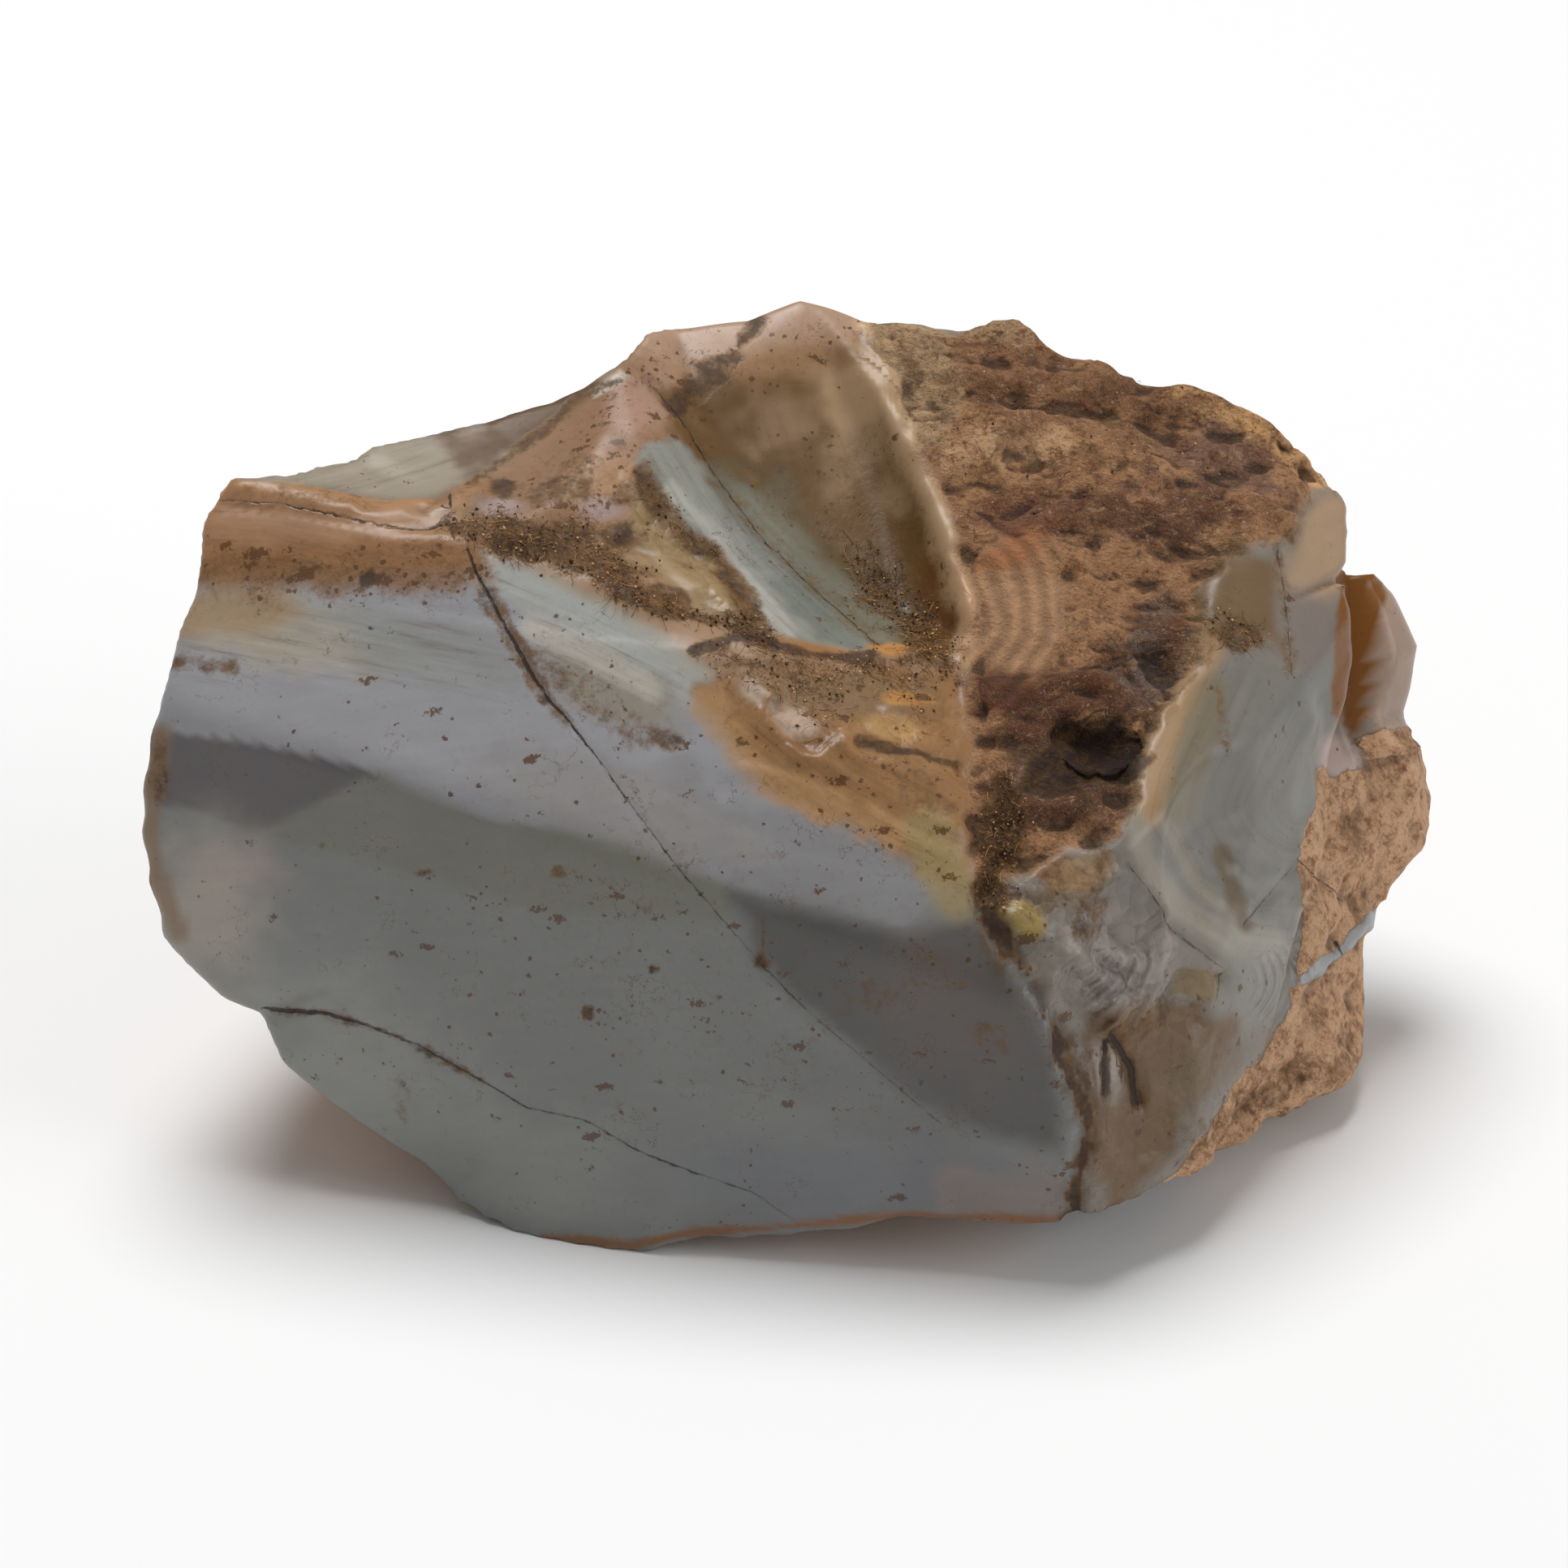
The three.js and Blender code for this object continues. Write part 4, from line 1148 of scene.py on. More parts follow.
MATRIX_MARKS = (
    Area("matrix", MATRIX_EDGE, 1, (170, 124, 86), 0.7, 0.5),
    Trail("dark top of the matrix", ((11.95, 26.4), (16.7, 25.4), (21.7, 23.3)), 2.2, 0.8, (138, 96, 64),
        0.8),
    Area("ribbed cream", ((4.9, 29.5), (9.2, 29), (11, 24), (9.9, 20.6), (8.3, 20.4), (6.3, 25.6)), 0.9,
        (184, 152, 114), 1),
    Area("shell layers", ((10.9, 13), (13.2, 13.4), (17.2, 13.2), (17.9, 10), (15.6, 6.8), (11.5, 6.2)),
        0.95, (178, 136, 100), 1),
    Area("red-brown floor", ((11.5, 6.7), (16.7, 6.8), (20.9, 7.6), (21.7, 10.6), (24.2, 10.8), (25.7, 8.8),
        (23.7, 5.2), (21.9, 2.3), (20.9, -1.7), (18.2, -3.4), (14.2, -2.2), (12.9, -0.4), (13.7, 1.8),
        (12.4, 4.6)), 0.9, (82, 38, 18), 1.8, 1),
    Spot("blotch", (15.1, 16.5), (3.3, 1.8), 1, (124, 78, 54), 12, 0.5, 0.8),
    Spot("tan above the blotch", (14.2, 20.4), (3.2, 1.1), 0.9, (206, 162, 120), 4, 0.6, 0.8),
    Spot("orange under the blotch", (14.2, 14.2), (2.6, 0.9), 0.8, (168, 108, 66), 14, 0.6, 0.8),
    Spot("blotch at the right edge", (27, 20.4), (3.6, 2.1), 1, (128, 92, 74), -14, 0.5, 0.8),
    Spot("blotch below it", (24, 16.2), (3.3, 2.1), 0.95, (102, 64, 46), -20, 0.5, 0.9),
    Trail("slit", ((24.3, 18.5), (25.3, 18.3)), 0.25, 1, (46, 30, 24)),
    # Painted shadow: the deep pit is coloured near black for the shade inside it.
    Spot("pit", (18.9, 2), (3.5, 2.5), 1, (10, 5, 3), 6, 0.9, 0.6),
    Spot("grey crumb", (15.6, 0.9), (1.5, 1), 0.7, (112, 92, 82)),
    Spot("grey shelf", (22.4, 7.2), (2, 2.3), 0.85, (104, 90, 86), -30, ragged=0.6),
    Spot("grey knot", (23.2, 10.8), (1.2, 1.6), 0.7, (104, 86, 78), -40, ragged=0.6),
    Spot("small pits", (25.3, 9), (1.4, 0.5), 0.9, (66, 42, 34)),
    # Painted glow: warm amber where light shines through the thin top-right edge.
    Trail("amber glow through the thin rim", ((24.6, 24.2), (28.7, 22.6), (31.2, 20.9), (33.2, 18.7)), 0.8, 0.9, (214, 162, 108)),
    Trail("cream rim", ((4.7, 28.3), (9.2, 27.9), (15.2, 27.6)), 0.5, 0.7, (196, 162, 122)),
)
RIGHT_MARKS = (
    Area("right opal", ((32.75, 18.5), (36.2, 17.8), (36.2, 12.3), (34.9, 6.55), (33.6, 2.5), (33, 0.8),
        (31.95, -4.45), (31.55, -11), (31.35, -13.5), (27.75, -18.15), (23.95, -24.25), (22, -29),
        (18, -29), *SEAM[::-1], (15.7, -4.9), *MATRIX_RIM[::-1]), 1, (122, 115, 106), 0.5),
    Area("pink facet", ((32.7, 18), (36.2, 18), (36.2, 12), (33.4, 11.2), (30.9, 12.2), (31.4, 15.4)), 0.9,
        (164, 136, 108), 2, 0.6),
    Area("grey facet", ((30.9, 12), (33.4, 11.2), (36.2, 12), (34.6, 7.8), (32, 7), (30.9, 8)), 0.9,
        (121, 111, 103), 1.6),
    Area("olive triangle", ((25.4, 11.5), (27.5, 14.3), (30.2, 14), (30.3, 9), (26.65, 8.9)), 0.85,
        (108, 82, 50), 1.6, 0.7),
    Area("scallop", ((26.2, 9.2), (25, 6.2), (22.75, 4), (22, 1.3), (21.3, -1.5), (21.7, -4.3),
        (23.2, -6.9), (25.2, -9.2), (27.9, -10.6), (31, -10.8), (31.9, -5.2), (32.7, -1.2), (33.6, 2.5),
        (33.95, 7.4), (31.2, 6.6), (29, 8)), 1, (118, 115, 108), 0.35, 0.06),
    Trail("tan side of the scallop", ((26.15, 8.4), (23.9, 4.4), (22.9, 1.2), (22.4, -1.6)), 1.1, 0.9,
        (158, 126, 90)),
    Trail("olive inside it", ((26.4, 5.8), (25.3, 2.2), (24.3, -1.4)), 1.1, 0.7, (116, 104, 80)),
    Trail("pale rim of the scallop", ((21.6, -2.2), (22.2, -4.7), (24.4, -7.6), (27.4, -9.6)), 0.7, 0.85,
        (146, 138, 124)),
    Trail("inner rim of the scallop", ((23.6, -2.6), (25.2, -5.8), (28.4, -8.9)), 0.5, 0.7,
        (138, 130, 114)),
    Spot("bright foot of the scallop", (28.8, -9.6), (2.4, 1.2), 0.85, (150, 145, 134), -12),
    Trail("olive streak", ((26.9, -4.2), (28.4, -8.65)), 0.55, 0.8, (104, 86, 58)),
    Spot("yellow lumps", (14.1, -8.1), (2, 1.1), 0.95, (156, 134, 78), -30, 0.5),
    Spot("brown above the lumps", (16.4, -5.2), (2.4, 1), 0.8, (134, 96, 60), -24),
    Spot("cream lumps", (18.6, -5.4), (1.8, 0.9), 0.8, (168, 138, 102), 20),
    Area("broken chips", ((16.6, -8.6), (20.3, -7.6), (24, -9.6), (24.6, -12.2), (21.4, -14.6),
        (18.6, -13.6)), 0.9, (138, 128, 120), 0.9, 0.6),
    Area("dun below the chips", ((18.7, -14.7), (25.7, -13.2), (28, -15.4), (24.2, -22.2), (20, -27.2),
        (18.4, -20)), 0.9, (102, 76, 44), 1.6, 0.8),
    Spot("grey under the scallop", (28.9, -13), (2.4, 2), 0.8, (130, 128, 120), -30),
    Spot("mauve below it", (25.6, -17.6), (2.6, 1.4), 0.8, (110, 92, 70), 30),
    Area("olive chip", ((24.3, -11.35), (27.4, -11.7), (26.6, -13.5), (23.9, -12.9)), 0.9, (128, 108, 74),
        0.4, 0.1),
    Trail("brown of the seam", SEAM, 0.7, 0.55, (84, 60, 30), 1.2),
    Trail("brown of the gashes", ((19.3, -15.4), (20.2, -18.8)), 1.2, 0.5, (84, 56, 28), 1),
    Spot("pale facet between the gashes", (19.9, -17.6), (0.7, 1.9), 0.8, (160, 152, 144), 14),
)
OPAL_LEDGE = Trail("opal ledge", ((31.9, -12), (34.6, -9.9), (37.6, -6.6)), 0.42, ragged=0.5)
GREY_PATCH = Spot("grey patch", (34.6, 1.55), (1.2, 1), ragged=0.6)
CRUST_MARKS = (
    Trail("opal ledge", OPAL_LEDGE.path, 0.8, 1, (148, 149, 148), 0.1),
    Spot("grey patch", GREY_PATCH.at, (1.6, 1.4), 1, (172, 152, 142)),
    # Painted shade: the fin's left face lies in shade and is coloured dark olive-brown for it.
    Area("painted shade on the fin's left face", ((34.4, 13.2), (36.8, 13.2), (37.15, 11.4), (36.45, 8.2), (35.8, 4),
        (34.75, 2.8), (33.75, 4.5), (33.9, 7.9), (34.3, 12.6)), 1, (120, 72, 12), 0.25, 0.1),
    Area("pale side of the fin", ((36.8, 13.6), (39.2, 11), (41, 8.3), (40.5, 3), (36, 3.4), (36.45, 8.2),
        (37.15, 11.4)), 1, (158, 134, 117), 0.3, 0.1),
)
TINTS = (
    *GROUND_MARKS, *OPAL_MARKS, *TOP_LEFT_MARKS, *HOLLOW_MARKS, *MATRIX_MARKS, *RIGHT_MARKS, *CRUST_MARKS,
)
STAINS = (
    LEDGE_DIRT,
    HOLLOW_DIRT,
    MOUND_DIRT,
    Trail("haze under the pink layers", ((-37, 13.2), (-31.8, 13), (-25.5, 12.9), (-18.6, 13.6)), 1.5, 0.42,
        ragged=0.6),
    Spot("dark spot of the band", (-25.5, 12.5), (0.85, 0.4), turn=14, soft=0.4),
    Area("olive patch", ((-37.3, 11.6), (-29.8, 11.9), (-30.2, 10.2), (-37.2, 9.2)), 0.25, fade=1.4,
        ragged=0.6),
    Area("brown patch", ((-37.7, 8.1), (-33.3, 7.5), (-33.8, 6.6), (-38, 7)), 0.75, fade=1.2, ragged=0.6),
    Trail("halo of the long crack", LONG_CRACK[2:8], 0.6, 0.7, ragged=0.6),
    Area("halo right of it", ((-17.6, 9.6), (-14.8, 8), (-11.6, 6.2), (-11.9, 4.6), (-14.2, 5.2),
        (-16.2, 7.4)), 0.55, fade=1.4, ragged=0.8),
    Area("smudge", ((-14.2, 6.4), (-11.5, 5.8), (-8.6, 4.4), (-6.3, 3.4), (-6, 1.9), (-8.6, 2), (-11.6, 3),
        (-13.2, 4.2)), 0.55, fade=1.6, ragged=0.8),
    Spot("smudge end", (-7.6, 2.9), (1.3, 0.7), 0.7, turn=-20),
    Trail("rust of the low crack", LOW_CRACK[:5], 0.3, 0.6, ragged=0.6),
    Spot("left rim stain", (-38.4, 0.4), (0.9, 2.4), 0.6),
    Spot("round rust", (-17.3, 18.2), (0.8, 0.55), 0.9, soft=0.5, ragged=0.7),
    Spot("brown of the slope", (-14.5, 18.25), (1.9, 0.9), 0.7, ragged=0.8),
    Spot("squiggle", (-12.9, 19.55), (1.3, 0.6), 0.55, turn=20, ragged=0.8),
    Spot("squiggle right", (-9.65, 17.65), (1.4, 0.7), 0.6, ragged=0.8),
    Spot("dark of the slope", (-10.4, 15.5), (1.2, 0.8), 0.8, ragged=1.2),
    Trail("brown of the bead", ((-34, 18.1), (-28.15, 17.3), (-22.3, 16.8), (-19, 17.8)), 0.5, 0.42,
        ragged=1.4),
    Spot("dark soil", (-16.2, 14.9), (3.6, 0.9), 0.95, turn=-8, ragged=0.5),
    Trail("scoop edge", ((-19.3, 18.4), (-17, 20.2), (-14.5, 22), (-12.6, 23.95), (-9.95, 24.95)), 0.35,
        0.75, ragged=0.6),
    Trail("knob stain", ((-1.75, 28.3), (-3.05, 26.8), (-4.8, 25.3), (-6.7, 23.4)), 0.85, 0.85, ragged=0.9),
    Trail("haze along the hollow's crease", HOLLOW_CREASE, 0.5, 0.4, ragged=0.6),
    Trail("edge of the wedge", ((-9, 19.4), (-7.9, 17.3), (-6.3, 15.4), (-4.1, 14), (-2.4, 11.8),
        (-1.7, 10.1)), 0.6, 0.75, ragged=0.9),
    Spot("foot of the mound", (-7.6, 11.5), (2.2, 1), 0.75, turn=-12, ragged=0.8),
    Area("haze of the hollow wall", ((1.7, 19), (6.9, 20.5), (10.3, 13.6), (10.7, 8.4), (6.6, 9.6),
        (1, 15.6)), 0.38, fade=2.4, ragged=1),
    Trail("haze down the wall", ((3.8, 19.8), (5.7, 17.3), (8.2, 13.6)), 1.4, 0.4, ragged=1),
    Area("haze over the lip", LIP_DIRT.outline, 0.4, fade=1.4, ragged=0.8),
    Trail("dark line over the lip", ((-5.6, 8.2), (-3.3, 9), (0.2, 8.6), (2.2, 8), (5.2, 7.6)), 0.4,
        ragged=0.9),
    Trail("step of the lip right", ((4.6, 2.6), (7.4, 2), (10.6, 1.2)), 0.3, 0.9, ragged=0.9),
    Spot("stain of the lip's end", (8.6, -0.8), (2.4, 0.9), 0.5, turn=-24, ragged=0.9),
    Trail("seam", SEAM, 0.38, ragged=1.7),
    Spot("rust by the seam", (13, -15.8), (1.4, 0.8), 0.42, turn=-30, ragged=0.8),
    Trail("gash", GASH, 0.28, ragged=0.7),
    Trail("gash right", GASH_RIGHT, 0.38, ragged=0.7),
    Spot("scribbles", (22.2, -14.8), (2.6, 1), 0.6, turn=20, ragged=0.9),
    Spot("scribbles low", (21.5, -22), (1.8, 3.2), 0.3, ragged=0.9),
    Trail("foot of the matrix", ((13.9, -0.6), (13.5, -3.6), (12.4, -6.4)), 1.1, 0.9, ragged=0.7),
    Trail("foot above the chips", ((19.6, -4.4), (19, -7.4), (18.2, -9.4)), 0.7, 0.6, ragged=0.9),
    Spot("crumbs at the foot", (16.8, -6.6), (2.6, 1.4), 0.5, ragged=0.9),
    Spot("nest of fibres", (27.85, 9.3), (2, 1), 0.7, turn=-25, ragged=0.7),
    Trail("right edge of the matrix", MATRIX_RIM, 0.4, 0.5, ragged=0.9),
    Trail("rust between the facets", ((30.3, 14.6), (31.1, 9.55), (31.3, 6.7)), 0.4, 0.5, ragged=0.9),
    # Painted shadow: a full dark stain over the pit darkens it further for the shade inside it.
    Spot("pit", (18.9, 2), (3, 2.1), turn=6, ragged=0.8),
    Trail("mottles of the crust", ((32.2, -17.4), (29.5, -19.4), (26.4, -21.6)), 1.1, 0.5, ragged=1.4),
    Trail("scallop streak", ((26.8, 5.8), (27.3, 2.2)), 0.4, 0.5, ragged=0.6),
    Spot("blot", (-12.05, -14.2), (0.42, 0.62), 0.95, turn=15, soft=0.6),
    Spot("cluster", (-13.8, -5.45), (0.7, 0.4), 0.6, ragged=0.7),
    Spot("cluster right", (-8.55, -7.7), (1.2, 0.7), 0.5, ragged=0.9),
    Spot("star", (-1.55, -10.95), (0.6, 0.6), 0.85, ragged=0.5),
    Trail("tail of the star", ((-1.5, -10.6), (-1.15, -8.2)), 0.25, 0.6),
    Spot("web", (4.7, -12.7), (1.6, 1.3), 0.4, ragged=0.9),
    Spot("scribble by the seam", (9.3, -11.7), (1.6, 1.2), 0.34, ragged=0.9),
    Spot("low left smudge", (-23.4, -19.6), (0.8, 2.4), 0.36, turn=8, ragged=0.7),
    Spot("speck by the star", (-4.1, -13.1), (0.3, 0.3), 0.85),
    Spot("speck under the band", (-22.2, -5.45), (0.35, 0.3), 0.9),
    Spot("speck left of it", (-28.6, -3.9), (0.3, 0.25), 0.9),
    Spot("speck in the middle", (-8.05, -11.4), (0.35, 0.35), 0.85),
)
SOIL = (
    Spot("dark soil", (-16.2, 14.9), (3.6, 0.9), 0.95, turn=-8, ragged=0.5),
    LEDGE_DIRT,
    HOLLOW_DIRT,
    LIP_DIRT,
    MOUND_DIRT,
    Trail("foot of the matrix", ((13.9, -0.6), (13.5, -3.6), (12.4, -6.4)), 1.2, 0.7, ragged=0.6),
    Spot("nest of fibres", (27.85, 9.3), (2.2, 1.1), 0.6, turn=-25),
    Trail("edge of the wedge", ((-9, 18.4), (-7.7, 17.3), (-6.3, 15.5), (-4.1, 14.2)), 0.6, 0.45,
        ragged=0.5),
    Spot("dust in the matrix", (16, 21), (8, 5), 0.12, soft=1.4),
)
SPECKS = (
    Area("band", ((-37.4, 14.8), (-28, 14.6), (-20, 14.6), (-17, 12.8), (-20, 11.2), (-28, 11),
        (-37.4, 11.6)), fade=2),
    Spot("scoop's edge", (-14, 19.6), (5.5, 3), 0.45, turn=35, soft=1.4),
    Area("hollow", ((-4, 22), (6, 21), (10.5, 9), (4, 8), (-3, 14)), 0.5, fade=3),
    Area("lip", ((-5, 6), (11, 7), (11.5, -6), (5, -5), (-4, 2)), 0.5, fade=2),
    Trail("beside the seam", SEAM, 2.4, 0.6),
    Area("low on the right", ((18, -12), (30, -12), (29, -18), (20, -27)), 0.4, fade=2),
    Spot("front", (-6, -11), (20, 9), 0.36, turn=-20, soft=1.6),
    Area("slope", ((-19, 16), (-9, 27), (3, 29), (6, 27), (-6, 21), (-9, 15)), 0.6, fade=2),
    Spot("right of the crack", (-12, 8), (6, 3), 0.4, turn=-20, soft=1.6),
)
LAYERS = (
    Layers("ribbed pink", ((-38.5, 13.8), (-36, 18), (-28.15, 17.2), (-21.3, 16), (-19.6, 13.6),
        (-28, 12.6)), fade=1.6, path=((-44, 17.9), (-31.3, 17.35), (-28.15, 16.7), (-24.8, 15.95),
        (-15, 15))),
    Layers("band", ((-38, 9.4), (-30, 10.9), (-19.6, 10.4), (-16.4, 5.6), (-27, 6.2), (-38, 6.2)), 0.9,
        fade=2, path=((-42, 10.2), (-31.8, 8.3), (-18.3, 5.55), (-8, 3.2))),
    Layers("right of the crack", ((-18.2, 13.2), (-13.3, 10.9), (-7.8, 8.1), (-4.6, 5.4), (-9.6, 5),
        (-16, 8.4)), 0.9, fade=1.6, path=((-24, 15.6), (-13.3, 11.2), (-7.8, 8.5), (0, 4.2))),
    Layers("scoop", ((-34, 18.4), (-20, 24.4), (-9, 28), (-11, 24.4), (-18.9, 19), (-28, 17.6)), fade=0.8,
        path=((-40, 17.8), (-27, 20.6), (-18, 23.6), (-9, 27.8))),
    Layers("wedge", ((-9.6, 20), (-6, 21.6), (6.6, 9), (0, 8.6), (-6.4, 15.4)), fade=1.2,
        path=HOLLOW_CREASE),
    Layers("lip", ((-4, 4.6), (11, 0.6), (11.4, -6.4), (5, -4), (-2, 1)), fade=1.4, path=((-10, 4.6),
        (-3.8, 3.3), (2.2, -1.7), (6.7, -4.2), (14, -7.4))),
    Layers("growth lines of the scallop", ((26.2, 9.2), (22, 1.3), (21.3, -3), (25.2, -9.2), (31, -10.8),
        (33.6, 2.5)), 0.5, fade=2, path=((24.8, 9.2), (21.2, 1.3), (20.4, -2.6), (23.2, -7.9),
        (27.9, -11.6), (33, -12))),
    Layers("layers of the mound", ((-9.4, 18), (-6.3, 15.6), (-1.9, 10), (-6, 10.4), (-10, 13)), 0.9,
        fade=1.6, path=((-10.4, 20.6), (-7.9, 17.3), (-6.3, 15.4), (-4.1, 14), (-2.4, 11.6), (-1, 9))),
    Layers("layers of the hollow wall", ((-4, 22), (5, 24), (10.8, 13), (10.6, 8.4), (5.6, 9.8)), 0.5,
        fade=2.4, path=HOLLOW_RIM),
)
CHIPS = (
    Area("below the matrix", ((15, -3.4), (20.6, -4), (24.2, -9.6), (25.4, -12.6), (21.4, -15.2),
        (18.2, -14.2), (14.6, -9.8), (12.2, -6.2)), 0.75, fade=1.6, ragged=0.5),
    Area("dun face", ((18.2, -14.2), (25.4, -13.4), (27.6, -16.4), (22.6, -24.2), (18.6, -27.6)), 0.35,
        fade=1.6, ragged=0.8),
    Trail("along the seam", SEAM, 0.8, 0.8, ragged=0.6),
    Area("ribbed cream", ((4.9, 28.5), (9.2, 28), (11, 24), (9.9, 20.6), (8.3, 20.4), (6.3, 25.6)), 0.7,
        fade=1.2),
    Trail("mound", ((-9.4, 18.6), (-7.9, 16.9), (-6.3, 15), (-4.4, 13.4), (-2.9, 11.4)), 1.1, 0.8),
    Area("lip", ((-2.4, 5), (3.4, 4.4), (10.6, 5.2), (10.8, 0.4), (4.2, 1.6), (-0.6, 2.4)), 0.5, fade=1.4,
        ragged=0.8),
)
LINES = (
    Line(LONG_CRACK, (0.09, 0.09, 0.1, 0.1, 0.12, 0.13, 0.11, 0.08, 0.06, 0.05, 0.05, 0.04, 0.03, 0.02)),
    Line(LOW_CRACK, (0.14, 0.11, 0.08, 0.06, 0.05, 0.05, 0.06, 0.05, 0.04, 0.03, 0.02)),
    Line(((30.3, 14.6), (30.8, 12.1), (31.1, 9.55), (31.3, 6.7)), (0.05, 0.05, 0.04, 0.03)),
    Line(HOLLOW_CREASE, (0.03, 0.05, 0.06, 0.05, 0.05, 0.06)),
    Line(((-35.4, 17.5), (-31.3, 17.3), (-28.15, 16.65), (-24.8, 15.95), (-21.8, 15.8), (-20.4, 16.4)),
        (0.03, 0.04, 0.06, 0.06, 0.07, 0.09)),
    Line(((-20.6, 17.6), (-20.4, 15.2)), (0.1, 0.07)),
    Line(GASH, (0.15, 0.06)),
    Line(GASH_RIGHT, (0.12, 0.2, 0.08)),
    Line(((27.3, -11.7), (26.6, -13.5)), (0.06, 0.05)),
    Line(((28.4, -8.7), (31.3, -5.2)), (0.07, 0.02)),
    Line(((21.4, -5), (24.2, -9), (27.2, -11.4)), (0.02, 0.05, 0.04)),
    Line(((33.9, -9.7), (34.1, -10.5)), (0.12, 0.06)),
    Line(((31.6, -4.6), (34.6, -7.2)), (0.06, 0.04)),
)
RELIEF = (
    Ridge(((-35, 18.1), (-31.3, 17.95), (-28.15, 17.3), (-24.3, 16.7), (-20.5, 17), (-18.9, 18.2)), 0.38,
        0.6, 0.8),
    Ridge(((-35.4, 17.3), (-31.3, 17.2), (-28.15, 16.55), (-24.8, 15.85), (-21.8, 15.7)), -0.14, 0.35),
    Ridge(((-9.4, 14.4), (-7.4, 12.3), (-4.4, 10.8)), -0.3, 0.9),
    Ridge(HOLLOW_CREASE, -0.16, 0.45),
    Ridge(HOLLOW_RIM, 0.16, 0.7, 0.7),
    Ridge(((4.6, 2.4), (7.4, 1.8), (10.6, 1)), -0.35, 0.5),
    Ledge(((10.4, 1.3), (7.4, 2.3), (4.6, 3)), 0.4, 3),
    Ledge(((3.4, 3), (2.2, 1.9), (0.7, 2.4), (-1.2, 4.1), (-0.6, 5.2)), 0.45, 2.6),
    Ledge(((5.2, 7.8), (8.2, 7.6)), 0.3, 1.2),
    Ledge(((9.4, 4.9), (6.4, 4.9)), 0.3, 1.4),
    Ledge(((11, -2.4), (6.2, -0.2), (0.6, 2.4)), 0.16, 2),
    Ledge(((10.2, -4), (3.2, -0.4), (-2.6, 1.4)), 0.14, 1.6),
    Ledge(((18.4, 15.4), (14.2, 15), (11.6, 16.8)), 0.35, 4),
    Ledge(((31.4, 16.4), (28.4, 18), (24.2, 18.2), (22.2, 19.8)), 0.4, 4),
    Ledge(((27, 14), (24.2, 14.2), (20.4, 15.6)), 0.3, 4),
    Ledge(((23.2, 23), (17.2, 22.6), (11.2, 22.2)), 0.4, 3),
    Ledge(((21.2, 25.2), (16.2, 25.4), (10.2, 25.6)), 0.35, 2.4),
    Ledge(((20.6, 7.4), (16.2, 6.2), (11.6, 6.6)), 0.45, 3),
    Ledge(((23.8, 5.2), (21.2, 8.4), (18.6, 9)), 0.4, 3.4),
    Ridge(((19.6, -15.9), (20, -19.2)), -0.3, 0.4),
    Ridge(GASH_RIGHT, -0.32, 0.45),
    Ridge(SEAM, -0.22, 0.6, 0.9),
    Ridge(((13, -7.6), (14.4, -8.2), (15.6, -9.2)), 0.5, 0.8),
    Ledge(((27.4, -11.7), (24.4, -11.35), (23.4, -12.9)), -0.35, 2.4),
    Ledge(((27.2, -11.2), (24.2, -8.8), (21.4, -4.8)), -0.3, 1.6),
    Ledge(((31.6, -12.4), (34.6, -10.4), (37.2, -7.2)), 0.45, 1.4),
    Ridge(((26.9, -4.2), (28.4, -8.65), (31.3, -5.2)), -0.1, 0.4),
    Ridge(((17.2, -9.6), (18.8, -11.6), (20.4, -12.4)), 0.3, 0.5, 0.9),
    Ridge(((18.8, -9), (20.4, -10.6), (22.6, -11.2)), 0.28, 0.5, 0.9),
    Ridge(((18, -12.4), (19.6, -13.6), (21.8, -13.4)), 0.25, 0.45, 0.9),
)
RIBS = (
    Ribs((9.4, 10.4), 2.2, 8.4, 1.2, 0.15, -62, 58),
    Ribs((0.6, 19.8), 7.6, 11, 0.8, 0.045, 10, 66),
    Ribs((27.2, -12.2), 1.6, 5.4, 0.62, 0.045, -50, 40),
    Ribs((17.2, -10.4), 1.2, 6.6, 0.9, 0.08, -70, 10),
    Ribs((30.4, 3.4), 6.5, 14, 1.9, 0.05, -125, -60),
)
MARKS = {
    MarkKind.TINT: TINTS,
    MarkKind.STAIN: STAINS,
    MarkKind.SOIL: SOIL,
    MarkKind.SPECKS: SPECKS,
    MarkKind.LAYERS: LAYERS,
    MarkKind.CHIPS: CHIPS,
    MarkKind.BARE: (OPAL_LEDGE, GREY_PATCH),
}


def linear(colour: Colour) -> Array:
    """A colour of 0 to 255 as light: ((c + 0.055) / 1.055) to the power 2.4."""
    return ((np.array(colour) / 255 + 0.055) / 1.055) ** 2.4


@dataclass
class Canvas:
    """The fields that the marks are laid on, for the side of the lump that faces the eye."""

    seen: Seen
    tone: Array
    flow: Array
    layers: dict[MarkKind, Array] = field(default_factory=dict)

    def lay(self, kind: MarkKind, marks: Sequence[Area | Spot | Trail]) -> None:
        """Lays marks of one kind, each on the corners that its span holds.

        A tint moves the tone toward its colour by its weight, and others keep the greatest
        weight. Layers also note the distance to their path where they are the strongest.

        Args:
            kind: what the marks change.
            marks: the areas, spots and trails, the lowest first.
        """
        layer = self.layers.setdefault(kind, np.zeros(len(self.tone)))
        for mark in marks:
            close = mark.near(self.seen)
            if not close.any():
                log.warning("%s: the mark %r lies off the stone", kind.value, mark.name)
            part = self.seen.only(close)
            weight = mark.weight(part) * part.facing
            if kind is MarkKind.TINT:
                self.tone[close] += (linear(mark.colour) - self.tone[close]) * weight[:, None]
                continue
            if kind is MarkKind.LAYERS:
                distance = beside(mark.path, part.across, part.up)[0]
                self.flow[close] = np.where(weight > layer[close], distance, self.flow[close])
            layer[close] = np.maximum(layer[close], weight)


